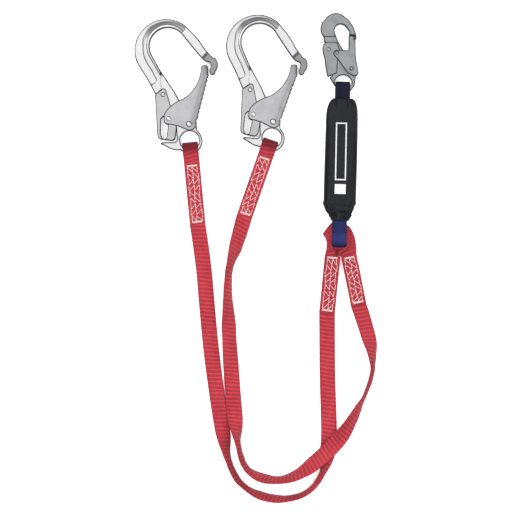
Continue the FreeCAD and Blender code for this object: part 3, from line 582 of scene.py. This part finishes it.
def ribbon(name, path, sides, normals, widths, thick, cup, uv_start=0.0):
    """A flat strap along a path. sides and normals are unit vectors, widths a value a station.

    cup is a (station, across) array of heights added to both faces.
    """
    count = len(path)
    edge = np.sqrt(np.clip(1 - np.abs(ACROSS) ** 12, 0, 1))
    along = distances(path) + uv_start
    centre = path[:, None, :] + sides[:, None, :] * (ACROSS * 0.5)[None, :, None] * widths[:, None, None]
    half = thick / 2 * (0.35 + 0.65 * edge)
    top = centre + normals[:, None, :] * (cup + half[None, :])[:, :, None]
    bottom = centre + normals[:, None, :] * (cup - half[None, :])[:, :, None]
    ring = np.concatenate([top, bottom[:, ::-1, :]], axis=1)
    size = ring.shape[1]
    u_top = ACROSS * 0.5 * WEB_WIDE
    u_ring = np.concatenate([u_top, u_top[::-1]])
    uvs = np.stack([np.tile(u_ring, count), np.repeat(along, size)], axis=1)
    return mesh_object(name, ring.reshape(-1, 3), tube_faces(count, size), uvs)


# Each leg: the route's points (millimetres), with the strap's roll about its own line in degrees
# and any lift over what it crosses. A strap at 0 lies flat, and at 90 it stands on its edge.
LEG_ONE = (
    (-87.3, -96.5, 3.0, 0), (-77.8, -159.0, 0, 0), (-72.9, -220.3, 0, 0), (-66.4, -293.2, 0, 2),
    (-57.4, -363.0, 0, 2), (-47.0, -431.1, 0, 22), (-38.0, -480.0, 0, 74), (-20.0, -517.0, 0, 74),
    (16.0, -538.0, 0, 66), (58.0, -542.5, 0, 76), (93.0, -531.0, 0, 74), (114.5, -503.0, 0, 70),
    (124.4, -465.5, 0, 8), (125.6, -423.0, 0, 2), (123.0, -352.0, 0, 0), (122.4, -293.0, 0, 0),
    (122.3, -236.5, 0.7, 0),
)
LEG_TWO = (
    (-11.6, -85.8, 3.0, 0), (-23.4, -128.0, 0, 28), (-35.4, -166.6, 0, 66), (-37.0, -184.0, 0, 69),
    (-38.0, -214.0, 0, 53), (-36.6, -269.0, 0, 28), (-32.4, -342.0, 0, 0), (-27.2, -406.0, 0, 12),
    (-20.6, -463.0, 0, 78), (-9.0, -494.0, 0, 74), (17.0, -508.4, 0, 63), (49.0, -511.6, 0, 64),
    (80.0, -500.0, 2.5, 50), (106.0, -480.0, 7.2, 16), (138.0, -451.0, 7, -2), (162.0, -417.0, 2, -46),
    (181.0, -378.0, 0, -82), (198.6, -331.0, 0, -82), (191.0, -279.0, 0, -20), (171.7, -223.6, 0.7, 0),
)


def stand_height(roll):
    """How high a rolled strap's middle lies over the floor, with a little air under it."""
    angle = np.radians(roll)
    return WEB_WIDE / 2 * np.abs(np.sin(angle)) + WEB_THICK / 2 * np.abs(np.cos(angle)) + 0.3 * MM


def route_line(name, route):
    """A smooth line through the route's control points, as points read back from the curve."""
    data = bpy.data.curves.new(name, "CURVE")
    data.dimensions = "3D"
    data.resolution_u = 16
    spline = data.splines.new("NURBS")
    spline.points.add(len(route) - 1)
    for point, (x, y, lift, roll) in zip(spline.points, route):
        point.co = (x * MM, y * MM, lift * MM + stand_height(roll), 1)
    spline.order_u = 3
    spline.use_endpoint_u = True
    obj = placed(name, data)
    mesh = mesh_as_seen(obj)
    points = np.array([v.co for v in mesh.vertices])
    bpy.data.meshes.remove(mesh)
    bpy.data.objects.remove(obj)
    return points


def eased(at, knots, values):
    """Values at the knots, joined half by straight lines and half by smooth steps."""
    place = np.clip(np.searchsorted(knots, at, side="right") - 1, 0, len(knots) - 2)
    low, high = knots[place], knots[place + 1]
    part = np.clip((at - low) / (high - low), 0, 1)
    share = part * part * (3 - 2 * part) * 0.5 + part * 0.5
    return values[place] + (values[place + 1] - values[place]) * share


# How far webbing that stands on its edge curls across its width, the spacing of a leg's stations,
# and how far it rolls by chance.
CURL = 4.5 * MM
LEG_STEP = 1.5 * MM
LOOSE_ROLL = 8.0


def leg_roll(number, along, knots, route):
    """The strap's roll at each station: the route's own, with chance wandering away from the ends."""
    own = eased(along, knots, np.array([roll for _, _, _, roll in route], float))
    loose = np.sin(np.clip(along / along[-1], 0, 1) * math.pi)
    return own + LOOSE_ROLL * loose * smooth_noise(len(along), LEG_STEP, 26 * MM, int(number) + 11)


def leg_cup(number, along, edgewise):
    """Small waves over the strap, and a curl where it stands on its edge. None of it at the ends."""
    count = len(along)
    ripple = smooth_noise(count, LEG_STEP, 6 * MM, int(number) + 3)[:, None]
    tilt = smooth_noise(count, LEG_STEP, 9 * MM, int(number) + 5)[:, None]
    span = ACROSS[None, :]
    ends = np.clip(np.minimum(along, along[-1] - along) / (25 * MM), 0, 1)[:, None]
    curl = CURL * edgewise[:, None] ** 4 * (2 / 3 - span ** 2)
    return ends * (0.22 * MM * ripple + 0.20 * MM * tilt * span + curl)


def leg(number, route):
    line = route_line("leg_%s_line" % number, route)
    path, along = resampled(line, LEG_STEP)
    corners = np.array([(x, y) for x, y, _, _ in route]) * MM
    knots = distances(corners)
    knots *= along[-1] / knots[-1]
    roll = leg_roll(number, along, knots, route)
    rise = eased(along, knots, np.array([lift for _, _, lift, _ in route], float)) * MM
    count = len(path)
    path[:, 2] = rise + stand_height(roll)
    ahead = unit(np.gradient(path, axis=0))
    flat_side = unit(np.cross(ahead, (0, 0, 1)))
    flat_up = np.cross(flat_side, ahead)
    angle = np.radians(roll)[:, None]
    sides = flat_side * np.cos(angle) + flat_up * np.sin(angle)
    normals = np.cross(sides, ahead)
    edgewise = np.abs(np.sin(np.radians(roll)))
    cup = leg_cup(number, along, edgewise)
    widths = np.full(count, WEB_WIDE)
    strap = ribbon("leg_%s_strap" % number, path, sides, normals, widths, WEB_THICK, cup)
    # Painted shade: where the strap stands on its edge, it is painted darker.
    edge_on_shade = edgewise ** 3 * (0.26 + 0.16 * smooth_noise(count, LEG_STEP, 18 * MM, int(number)))
    paint(strap.data, "painted_shade", np.repeat(edge_on_shade, len(strap.data.vertices) // count))
    dress(strap, "red_webbing", "absorber")
    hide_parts("leg_%s_webbing" % number)


# ---------------------------------------------------------------- sewn eyes

def plane_frame(x, y, turn):
    """Origin and unit vectors of a strap's own frame: across it and along it."""
    angle = math.radians(turn)
    side = np.array([math.cos(angle), math.sin(angle), 0])
    ahead = np.array([-math.sin(angle), math.cos(angle), 0])
    return np.array([x * MM, y * MM, 0]), side, ahead


def side_view(points, place):
    """Points given as (along, height) in millimetres, carried to the row frame."""
    origin, _, ahead = place
    return np.array([origin + ahead * a * MM + np.array([0, 0, h * MM]) for a, h in points])


def arc_points(centre, radius, start, finish, count=14):
    angles = np.radians(np.linspace(start, finish, count))
    return [(centre[0] + radius * math.cos(a), centre[1] + radius * math.sin(a)) for a in angles]


def rounded(points):
    """Cut the corners of a polyline twice, so that a strap bends gently."""
    points = np.asarray(points, float)
    for _ in range(2):
        first = points[:-1] * 0.75 + points[1:] * 0.25
        second = points[:-1] * 0.25 + points[1:] * 0.75
        mixed = np.empty((2 * len(first), points.shape[1]))
        mixed[0::2], mixed[1::2] = first, second
        points = np.vstack([points[:1], mixed, points[-1:]])
    return points


FOLD_STEP = 0.8 * MM


def strap_in_plane(name, profile, place, wide, thick, seed, wrinkle=0.25, uv_start=0.0, narrow=None):
    """A strap whose line lies in the upright plane along it, such as a fold round a bar."""
    path, along = resampled(side_view(rounded(profile), place), FOLD_STEP)
    count = len(path)
    side = np.tile(place[1], (count, 1))
    normals = np.cross(side, unit(np.gradient(path, axis=0)))
    ripple = smooth_noise(count, FOLD_STEP, 5 * MM, seed)[:, None]
    tilt = smooth_noise(count, FOLD_STEP, 8 * MM, seed + 1)[:, None]
    cup = wrinkle * MM * (0.6 * ripple + 0.7 * tilt * ACROSS[None, :])
    widths = np.full(count, wide) if narrow is None else wide * narrow(along / along[-1])
    return ribbon(name, path, side, normals, widths, thick, cup, uv_start)


# The sewn eyes on the hooks: place and turn, the hook, and where the sewing starts and stops.
EYES = {
    "1": (-98.1, 19.5, 5.4, "hook_1", -21.5, -115.0),
    "2": (27.0, 24.4, -19.3, "hook_2", -15.5, -112.5),
}
# Half the distance between a doubled strap's two middles. Then the hook eyes' (along, height over
# the hook's middle) at the doubled strap's end, its height at the neck where it opens to go round
# the ring, and how far the neck lies past the sewing.
PLY = 1.3
TAB_END = (-118.0, -8.4)
NECK_HEIGHT = -0.4
NECK_PAST_SEWING = 4.5


def doubled_middle(number, at):
    """The middle of a hook eye's doubled strap, at a place along it, as (along, height)."""
    neck = EYES[number][4] + NECK_PAST_SEWING
    slope = (TAB_END[1] - NECK_HEIGHT) / (TAB_END[0] - neck)
    return at, HOOK_MIDDLE / MM + NECK_HEIGHT + (at - neck) * slope


def raised(spot, rise):
    """An (along, height) point, moved up."""
    return spot[0], spot[1] + rise


def hook_eye(number):
    """The strap goes under, round the hook's ring bar and back along the top; sewn below the neck."""
    x, y, turn, hook, sewn, _ = EYES[number]
    place = plane_frame(x, y, turn)
    middle = HOOK_MIDDLE / MM
    neck = doubled_middle(number, sewn + NECK_PAST_SEWING)
    held = doubled_middle(number, neck[0] - 3.0)
    profile = [(TAB_END[0] - 1.0, middle + TAB_END[1] - PLY)]
    profile += [raised(held, -PLY), raised(neck, -PLY), (-5.0, middle - 6.3)]
    profile += arc_points((7.0, middle), 6.9, -90, 90)
    profile += [(-5.0, middle + 6.3), raised(neck, PLY), raised(held, PLY)]
    profile += [(TAB_END[0], middle + TAB_END[1] + PLY)]
    eye = strap_in_plane("leg_%s_eye_strap" % number, profile, place, WEB_WIDE, 2.4 * MM, 31 + int(number))
    # Painted shade: the fold's top round the ring bar is painted darker.
    reach = (spots(eye) - place[0]) @ place[2] / MM
    paint(eye.data, "painted_shade", 0.8 * smooth_step(reach, -9.0, 7.0))
    dress(eye, "red_webbing")
    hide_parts("leg_%s_hook_eye" % number)
    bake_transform(eye)


THREAD_SIDES = 6
THREAD_RADIUS = 0.35 * MM
STITCH_COLUMNS = 3
STITCH_HALF_WIDE = 8.2
STITCH_LONGEST = 3.4
# How far the rows of sewing stay from its ends, and the threads of each end bar.
BAR_REACH = 2.5
BAR_ROWS = (0.4, 1.4, 2.4)


def thread_tube(path):
    """A round thread along points, closed at both ends: (vertices, faces) from index 0."""
    path = np.asarray(path, float)
    ahead = unit(np.gradient(path, axis=0))
    first = unit(np.cross(ahead, (0, 0, 1)))
    second = np.cross(ahead, first)
    angles = np.arange(THREAD_SIDES) * math.tau / THREAD_SIDES
    cos, sin = np.cos(angles)[None, :, None], np.sin(angles)[None, :, None]
    ring = first[:, None, :] * cos + second[:, None, :] * sin
    verts = (path[:, None, :] + ring * THREAD_RADIUS).reshape(-1, 3)
    return verts, tube_faces(len(path), THREAD_SIDES)


def sewing_lines(length, rows, local):
    """The sewing's plan: rows of leaning zigzag, then a dense bar at each end, as (across, along)."""
    lines = []
    pitch = (length - 2 * BAR_REACH) / rows
    for row in range(rows):
        top = BAR_REACH + (row + 0.04) * pitch
        foot = top + 0.96 * pitch
        lean = 1 if (row // 2) % 2 else -1
        columns = np.linspace(-STITCH_HALF_WIDE, STITCH_HALF_WIDE, STITCH_COLUMNS)
        columns = lean * (columns + local.uniform(-0.9, 0.9, STITCH_COLUMNS))
        line = []
        for x in columns:
            line.append((x + local.uniform(-0.4, 0.4), top + local.uniform(0, 1)))
            line.append((x, foot - local.uniform(0, 1)))
        lines.append(line)
    bar = np.linspace(-STITCH_HALF_WIDE, STITCH_HALF_WIDE, 9)
    for at in (*BAR_ROWS, *(length - row for row in reversed(BAR_ROWS))):
        lines.append([(x, at + (0.4 if k % 2 else -0.4)) for k, x in enumerate(bar)])
    return lines


def split_stitch(start, finish):
    """Where each stitch of a long stroke starts and ends, as shares of the stroke."""
    (x0, a0), (x1, a1) = start, finish
    pieces = max(1, round(math.hypot(x1 - x0, a1 - a0) / STITCH_LONGEST))
    for piece in range(pieces):
        yield piece / pieces, (piece + 1) / pieces


def stitches(name, place, near, far, rows, seed):
    """Rows of zigzag lockstitch between two dense bars, on both faces of a doubled strap.

    near and far are the strap's middle at the sewing's two ends, as (along, height).
    """
    local = np.random.default_rng(seed)
    near, far = np.array(near, float), np.array(far, float)
    length = np.linalg.norm(far - near)
    down = (far - near) / length
    out = np.array([down[1], -down[0]])
    lines = sewing_lines(length, rows, local)
    strokes = [stroke for line in lines for stroke in zip(line, line[1:])]
    verts, faces, total = [], [], 0
    origin, side, ahead = place
    for face in (1, -1):
        for start, finish in strokes:
            for low, high in split_stitch(start, finish):
                shake = local.uniform(-0.16, 0.16, 2)
                path = []
                for part in np.linspace(0.03, 0.97, 6):
                    share = low + (high - low) * part
                    x, a = np.array(start) + (np.array(finish) - start) * share + shake
                    bow = 0.42 * math.sin(part * math.pi) - 0.12
                    along, height = near + down * a + out * face * (PLY * 2 + bow)
                    path.append(origin + (side * x + ahead * along + np.array([0, 0, height])) * MM)
                tube, quads = thread_tube(path)
                verts.append(tube)
                faces += [[i + total for i in quad] for quad in quads]
                total += len(tube)
    return dress(mesh_object(name, np.vstack(verts), faces), "white_thread", "absorber")


def hook_stitches(number):
    x, y, turn, _, sewn, finish = EYES[number]
    near, far = doubled_middle(number, sewn), doubled_middle(number, finish)
    obj = stitches("leg_%s_eye_stitches" % number, plane_frame(x, y, turn), near, far, 9, 40 + int(number))
    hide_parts("leg_%s_hook_stitching" % number)


# Each sewn tab at the pack: its origin and turn, and where it ends along its own line.
PACK_TABS = {
    "1": (130.9, -149.4, -5.4, -92.0),
    "2": (157.3, -149.4, 11.6, -80.0),
}
# The tab's height at its neck and at its end, and where its sewing starts and stops short of the end.
TAB_NECK = -10.0
TAB_TOP = 12.4
TAB_FOOT = 3.7
TAB_SEWN_FROM = -1.0
TAB_SEWN_SHORT = 3.0
# Where the two tabs part, in the row frame.
CROTCH = (138.0, -143.0)


def crotch_shade(obj):
    """How dark each vertex is painted: all of it a little darker, and the crotch of the tabs most, as painted
    shade.
    """
    x, y = spots(obj)[:, :2].T / MM
    deep = np.exp(-(((x - CROTCH[0]) / 4.5) ** 2 + ((y - CROTCH[1]) / 7.0) ** 2))
    return np.maximum(0.95 * deep, 0.16)


def narrow_at_ring(part):
    """A tab's width along it, as a share: drawn in where it meets the bunched ring."""
    return 1.0 - 0.14 * np.clip(1 - part / 0.16, 0, 1) ** 2


def pack_eye(number, level, outer, hole):
    """The bunched ring through the navy loop, and the doubled sewn tab that runs down from it."""
    x, y, turn, end = PACK_TABS[number]
    place = plane_frame(x, y, turn)
    for ply, name in ((PLY, "tail"), (-PLY, "inner")):
        profile = [(10.0, level + ply * 0.4), (4.0, TAB_TOP + 1.3 + ply)]
        profile += [(TAB_NECK, TAB_TOP + ply), (end, TAB_FOOT + ply)]
        strap = strap_in_plane(
            "leg_%s_tab_%s" % (number, name), profile, place, WEB_WIDE, 2.5 * MM,
            61 + int(number) * 3 + int(ply > 0), 0.3, 0.4, narrow_at_ring)
        dress(strap, "red_webbing", "absorber")
        paint(strap.data, "painted_shade", crotch_shade(strap))
        if ply > 0:
            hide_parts("leg_%s_pack_eye" % number)
    ring = bunched_ring("leg_%s_bunched_eye" % number, level, outer, hole, 80 + int(number))
    # Painted shade: the ring is painted darker where it runs under the pack.
    shade_under_pack = 0.5 * smooth_step(spots(ring)[:, 1] / MM, -126.0, -100.0)
    paint(ring.data, "painted_shade", np.maximum(shade_under_pack, crotch_shade(ring)))
    dress(ring, "red_webbing", "absorber")


def closed_resample(points, count):
    """Points evenly spaced round a closed outline."""
    points = np.asarray(points, float)
    points = np.vstack([points, points[:1]])
    along = distances(points)
    wanted = np.linspace(0, along[-1], count, endpoint=False)
    return np.stack([np.interp(wanted, along, points[:, axis]) for axis in range(2)], axis=1)


def corner_cut(points, rounds):
    """Cut the corners of a closed outline."""
    points = np.asarray(points, float)
    for _ in range(rounds):
        after = np.roll(points, -1, axis=0)
        points = np.stack([points * 0.8 + after * 0.2, points * 0.2 + after * 0.8], axis=1).reshape(-1, 2)
    return points


def bunched_ring(name, level, outer, hole, seed):
    """Webbing folded round an opening: a band between two outlines, creased along its length."""
    count, across = 220, 14
    outside = closed_resample(corner_cut(outer, 2), count)
    centre = np.mean(hole, axis=0)
    inside = closed_resample(corner_cut(hole, 3), 400)
    angle_in = np.arctan2(inside[:, 1] - centre[1], inside[:, 0] - centre[0])
    angle_out = np.arctan2(outside[:, 1] - centre[1], outside[:, 0] - centre[0])
    order = np.argsort(angle_in)
    inner = np.stack([
        np.interp(angle_out, angle_in[order], inside[order, axis], period=math.tau) for axis in range(2)
    ], axis=1)
    part = np.linspace(0, 1, across + 1)
    plan = inner[:, None, :] * (1 - part)[None, :, None] + outside[:, None, :] * part[None, :, None]
    edge = np.sqrt(np.clip(1 - np.abs(2 * part - 1) ** 8, 0, 1))
    folds = smooth_noise(count, 1.0, 9.0, seed)[:, None] * np.sin(part * math.pi * 3)[None, :] * 0.7
    folds += smooth_noise(count, 1.0, 16.0, seed + 9)[:, None] * 0.6
    fade = np.linspace(1, 0, 12)[:, None]
    folds[-12:] = folds[-12:] * fade + folds[:1] * (1 - fade)
    top = level + folds + 1.5 * edge[None, :]
    low = level + folds - 1.5 * edge[None, :]
    upper = np.dstack([plan, top])
    lower = np.dstack([plan, low])[:, ::-1]
    ring = np.concatenate([upper, lower], axis=1) * MM
    size = ring.shape[1]
    u = np.concatenate([part, part[::-1]]) * WEB_WIDE
    uvs = np.stack([np.tile(u, count), np.repeat(np.arange(count) * 0.8 * MM, size)], axis=1)
    return mesh_object(name, ring.reshape(-1, 3), ring_faces(count, size, True).tolist(), uvs)


def tab_middle(number, at):
    """The middle of a pack tab's doubled strap, at a place along it, as (along, height)."""
    slope = (TAB_FOOT - TAB_TOP) / (PACK_TABS[number][3] - TAB_NECK)
    return at, TAB_TOP + (at - TAB_NECK) * slope


def pack_stitches(number):
    x, y, turn, end = PACK_TABS[number]
    near, far = tab_middle(number, TAB_SEWN_FROM), tab_middle(number, end + TAB_SEWN_SHORT)
    obj = stitches("leg_%s_tab_stitches" % number, plane_frame(x, y, turn), near, far, 8, 50 + int(number))
    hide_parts("leg_%s_pack_stitching" % number)


# Plan outlines of the two bunched eyes and the opening for the navy loop, in millimetres.
EYE_ONE_OUTLINE = (
    (118.2, -152.0), (120.6, -140.0), (121.6, -127.0), (119.0, -119.6), (114.4, -113.6), (118.4, -108.0),
    (125.0, -99.6), (132.0, -93.0), (152.0, -95.0), (158.0, -108.0), (160.0, -124.0), (156.0, -136.0),
    (145.6, -144.0), (142.6, -152.0),
)
EYE_TWO_OUTLINE = (
    (144.8, -152.0), (143.2, -147.5), (128.0, -143.4), (121.6, -130.0), (122.0, -114.0),
    (130.0, -99.0), (154.6, -98.0), (161.6, -106.0), (167.6, -119.6), (169.4, -134.0), (169.8, -152.0),
)
EYE_ONE_HOLE = (
    (131.0, -124.6), (152.4, -124.6), (152.4, -134.6), (147.0, -137.0), (140.6, -143.6), (131.0, -136.6),
)
EYE_TWO_HOLE = ((131.0, -124.6), (152.4, -124.6), (152.4, -134.6), (131.0, -134.6))


# ---------------------------------------------------------------- energy absorber pack

# The pack's own frame, and the upper loop's, a little to one side of it.
PACK_PLACE = plane_frame(144.2, 6.6, -1.2)
LOOP_PLACE = plane_frame(144.8, 6.6, -1.2)


def on_pack(x, along, height):
    """A point given in the pack's own frame, carried to the row frame."""
    origin, side, ahead = PACK_PLACE
    return origin + (side * x + ahead * along + np.array([0, 0, height])) * MM + np.array([0, 0, PACK_MIDDLE])


# Along the pack from its foot to its top: (along, left half width, right half width, half thickness)
COVER_STATIONS = (
    (-98.8, 14.0, 14.6, 7.6), (-95.6, 14.6, 17.2, 8.2), (-89.0, 18.6, 19.0, 9.4), (-81.0, 24.2, 22.0, 10.8),
    (-75.4, 26.6, 24.8, 11.8), (-71.6, 28.8, 27.4, 12.4), (-67.0, 27.2, 26.8, 12.6),
    (-40.0, 27.0, 26.8, 12.8), (20.0, 26.7, 26.9, 12.8), (60.0, 26.6, 26.9, 12.7),
    (73.0, 26.4, 26.8, 12.4), (81.0, 25.2, 25.9, 11.8), (89.0, 22.4, 24.2, 10.6),
    (95.6, 18.8, 21.6, 9.0), (98.6, 14.2, 16.6, 7.8),
)
# How square the sleeve's section is, how far its surface may lie from the middle, and the half size
# and depths of the rings that turn in at its two mouths.
CORNER_POWER = 3.4
SLEEVE_LIMIT = 12.9
MOUTH_HALF = (13.4, 6.9)
MOUTH_DEPTHS = np.array((0.8, 4.0, 10.0))


def cover_folds(angle, along):
    """Heights of the sleeve's wrinkles: long soft ones, and tight pleats gathered at the foot."""
    foot = np.exp(-((along + 88.0) / 13.0) ** 2)
    head = np.exp(-((along - 90.0) / 9.0) ** 2)
    pleats = np.sin(angle * 17 + 1.6 * np.sin(along * 0.16)) + 0.6 * np.sin(angle * 29 - along * 0.09)
    crumple = np.sin(along * 0.62 + 2.2 * np.sin(angle * 5)) * np.sin(angle * 9 + 1.0)
    long_folds = 0.22 * np.sin(angle * 7 + along * 0.021) + 0.16 * np.sin(angle * 4 - along * 0.035 + 1)
    band = 0.5 * np.exp(-((along + 75.5) / 1.6) ** 2)
    return foot * (0.8 * pleats + 1.05 * crumple) + head * 0.45 * pleats + long_folds - band


def pack_cover():
    stations = np.array(COVER_STATIONS)
    along = np.arange(-98.8, 98.7, 0.9)
    soft = np.hanning(7)
    soft /= soft.sum()
    sizes = [np.interp(along, stations[:, 0], stations[:, column]) for column in (1, 2, 3)]
    left, right, thick = (np.convolve(np.pad(size, 3, mode="edge"), soft, mode="valid") for size in sizes)
    around = 176
    angle = np.arange(around) * math.tau / around
    cos, sin = np.cos(angle), np.sin(angle)
    shape_x = np.sign(cos) * np.abs(cos) ** (2 / CORNER_POWER)
    shape_z = np.sign(sin) * np.abs(sin) ** (2 / CORNER_POWER)
    mouth_x = np.clip(shape_x * MOUTH_HALF[0], -SLEEVE_LIMIT, SLEEVE_LIMIT)
    mouth_z = shape_z * MOUTH_HALF[1]
    foot, top = (
        [np.stack([mouth_x, np.full(around, at), mouth_z], axis=1) for at in places]
        for places in (-98.6 + MOUTH_DEPTHS, 98.4 - MOUTH_DEPTHS)
    )
    body = []
    for index, at in enumerate(along):
        wide = np.where(shape_x < 0, left[index], right[index])
        fold = cover_folds(angle, at)
        height = np.clip(shape_z * (thick[index] - 0.6) + sin * fold, -SLEEVE_LIMIT, SLEEVE_LIMIT)
        body.append(np.stack([shape_x * (wide - 0.8) + cos * fold, np.full(around, at), height], axis=1))
    grid = np.array(foot[::-1] + body + top)
    verts = [on_pack(*spot) for spot in grid.reshape(-1, 3)]
    cover = mesh_object("cover_sleeve", verts, ring_faces(len(grid), around).tolist())
    dress(cover, "black_cover", "absorber")
    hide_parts("shock_pack_cover")


# Plain print on the sleeve, as (low, high, left, right): an empty frame over a solid block.
PRINT_BARS = (
    (-56.0, -40.0, -9.4, 8.6), (-34.0, -31.8, -9.4, 8.6), (56.8, 59.0, -9.4, 8.6),
    (-31.8, 56.8, -9.4, -7.2), (-31.8, 56.8, 6.4, 8.6),
)
PRINT_CELL = 1.5
PRINT_THICK = 0.12


def on_sleeve(x, along):
    """A point just over the sleeve's upper face."""
    stations = np.array(COVER_STATIONS)
    half = np.interp(along, stations[:, 0], stations[:, 3])
    angle = math.acos(math.copysign(abs(x / 26.0) ** (CORNER_POWER / 2), x))
    sin = math.sin(angle)
    height = (half - 0.6) * sin ** (2 / CORNER_POWER) + sin * cover_folds(angle, along)
    return on_pack(x, along, min(height, SLEEVE_LIMIT) + PRINT_THICK)


def print_marks():
    """Plain pale bars on the sleeve's face, in place of any lettering."""
    points, faces = [], []
    for low, high, left, right in PRINT_BARS:
        rows = max(int((high - low) / PRINT_CELL), 2)
        columns = max(int((right - left) / PRINT_CELL), 2)
        base = len(points)
        for along in np.linspace(low, high, rows + 1):
            points += [on_sleeve(x, along) for x in np.linspace(left, right, columns + 1)]
        starts = [base + row * (columns + 1) + column for row in range(rows) for column in range(columns)]
        faces += [(at, at + 1, at + columns + 2, at + columns + 1) for at in starts]
    marks = mesh_object("plain_print", points, faces)
    thick = marks.modifiers.new("thick", "SOLIDIFY")
    thick.thickness = PRINT_THICK * MM
    thick.offset = -1
    dress(marks, "black_label", "absorber")
    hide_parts("pack_label_panel")


def upper_loop():
    """The navy strap that comes out of the pack's top, round the snap hook's bar and back."""
    middle = PACK_MIDDLE / MM
    top = middle - 3.0
    profile = [(70.0, middle - 0.5), (92.0, middle - 0.5), (107.5, top - 5.9)]
    profile += arc_points((118.9, top), 6.1, -90, 90)
    profile += [(107.5, top + 6.0), (96.0, middle + 3.4), (84.0, middle + 1.7), (70.0, middle + 1.7)]
    upper = strap_in_plane("upper_navy_strap", profile, LOOP_PLACE, 24.0 * MM, 2.1 * MM, 91, 0.3)
    dress(upper, "navy_webbing")
    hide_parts("upper_navy_loop")
    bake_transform(upper)


def lower_loop():
    """The navy strap that holds the two bunched eyes, with its bulged fold on the upper side."""
    middle = PACK_MIDDLE / MM
    profile = [(-60.0, middle - 0.5), (-84.0, middle - 0.5), (-100.0, middle - 4.0), (-118.0, middle - 4.9)]
    profile += arc_points((-135.8, middle), 4.9, -90, -185)
    profile += [(-139.6, middle + 3.2), (-135.6, middle + 5.4), (-129.4, middle + 7.2)]
    profile += [(-123.4, middle + 7.0), (-117.0, middle + 5.2), (-108.0, middle + 4.4)]
    profile += [(-100.0, middle + 4.2), (-84.0, middle + 1.7), (-60.0, middle + 1.7)]
    lower = strap_in_plane("lower_navy_strap", profile, PACK_PLACE, 23.6 * MM, 2.1 * MM, 95, 0.8)
    # Painted shade darkens the strap, least on a painted highlight band over the bulge and most at its
    # rounded end.
    reach = (spots(lower) - PACK_PLACE[0]) @ PACK_PLACE[2] / MM
    band = smooth_step(reach, -137.0, -131.0) * (1 - smooth_step(reach, -124.0, -116.0))
    paint(lower.data, "painted_shade", 0.42 * (1 - band) + 0.35 * smooth_step(-reach, 136.0, 140.0))
    dress(lower, "navy_webbing", "absorber", "navy_webbing_foot")
    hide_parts("lower_navy_loop")


def inner_straps():
    dress_inside("tear_webbing_core", "core_webbing")
    dress_inside("backup_strap", "core_webbing")
    dress_inside("rip_stitching", "white_thread")


# ---------------------------------------------------------------- stage

FLOOR_REACH = 6.0


def floor():
    """A pale floor that glows a little, so that shadows wash out as in a cut-out photograph."""
    mesh = bpy.data.meshes.new("floor")
    corners = [(x * FLOOR_REACH, y * FLOOR_REACH, 0) for x, y in ((-1, -1), (1, -1), (1, 1), (-1, 1))]
    mesh.from_pydata(corners, [], [(0, 1, 2, 3)])
    obj = placed("floor", mesh)
    surface = Surface("pale_floor", (0.93, 0.93, 0.93), 0.9)
    surface.fix("Specular IOR Level", 0.1)
    surface.fix("Emission Color", (1, 1, 1, 1))
    surface.fix("Emission Strength", 0.4)
    mesh.materials.append(surface.material)


LIGHTS_AIM = (0, -0.1, 0)


def softbox(name, spot, size, power):
    light = bpy.data.lights.new(name, "AREA")
    light.size = size
    light.energy = power
    obj = placed(name, light)
    obj.location = spot
    obj.rotation_euler = (Vector(LIGHTS_AIM) - Vector(spot)).to_track_quat("-Z", "Y").to_euler()


def studio():
    """A bright ceiling over a dim horizon, so that polished metal shows pale faces and dark edges."""
    world = bpy.data.worlds.new("studio")
    bpy.context.scene.world = world
    world.use_nodes = True
    tree = world.node_tree
    background = tree.nodes["Background"]
    spot = tree.nodes.new("ShaderNodeTexCoord")
    split = tree.nodes.new("ShaderNodeSeparateXYZ")
    ramp = tree.nodes.new("ShaderNodeValToRGB")
    tree.links.new(spot.outputs["Generated"], split.inputs[0])
    tree.links.new(split.outputs["Z"], ramp.inputs["Fac"])
    stops = ramp.color_ramp.elements
    stops[0].position, stops[0].color = 0.0, (0.05, 0.05, 0.053, 1)
    stops[1].position, stops[1].color = 1.0, (1.0, 1.0, 1.0, 1)
    for position, level in ((0.25, 0.14), (0.50, 0.45), (0.72, 0.75), (0.88, 1.0)):
        stops.new(position).color = (level, level, level * 1.01, 1)
    tree.links.new(ramp.outputs["Color"], background.inputs["Color"])
    background.inputs["Strength"].default_value = 2.05
    softbox("key", (-0.9, 0.9, 1.9), 0.9, 20)
    softbox("fill", (1.3, -0.7, 1.7), 1.2, 12)


# What the photograph takes in: the point at its centre, and its width. The camera's height is metres.
FRAME_CENTRE = (7.3, -149.2)
VIEW_WIDTH = 829.0
CAMERA_HEIGHT = 4.2


def camera():
    data = bpy.data.cameras.new("camera")
    data.lens = data.sensor_width * CAMERA_HEIGHT / (VIEW_WIDTH * MM)
    obj = placed("camera", data)
    obj.location = (FRAME_CENTRE[0] * MM, FRAME_CENTRE[1] * MM, CAMERA_HEIGHT)
    bpy.context.scene.camera = obj
    bpy.context.scene.view_settings.view_transform = "Standard"


for hook_number in ("1", "2"):
    rebar_hook(hook_number)
    hook_eye(hook_number)
    hook_stitches(hook_number)
    pack_stitches(hook_number)
snap_hook()
pack_eye("1", 14.0, EYE_ONE_OUTLINE, EYE_ONE_HOLE)
pack_eye("2", 10.6, EYE_TWO_OUTLINE, EYE_TWO_HOLE)
leg("1", LEG_ONE)
leg("2", LEG_TWO)
pack_cover()
print_marks()
upper_loop()
lower_loop()
inner_straps()
floor()
studio()
camera()
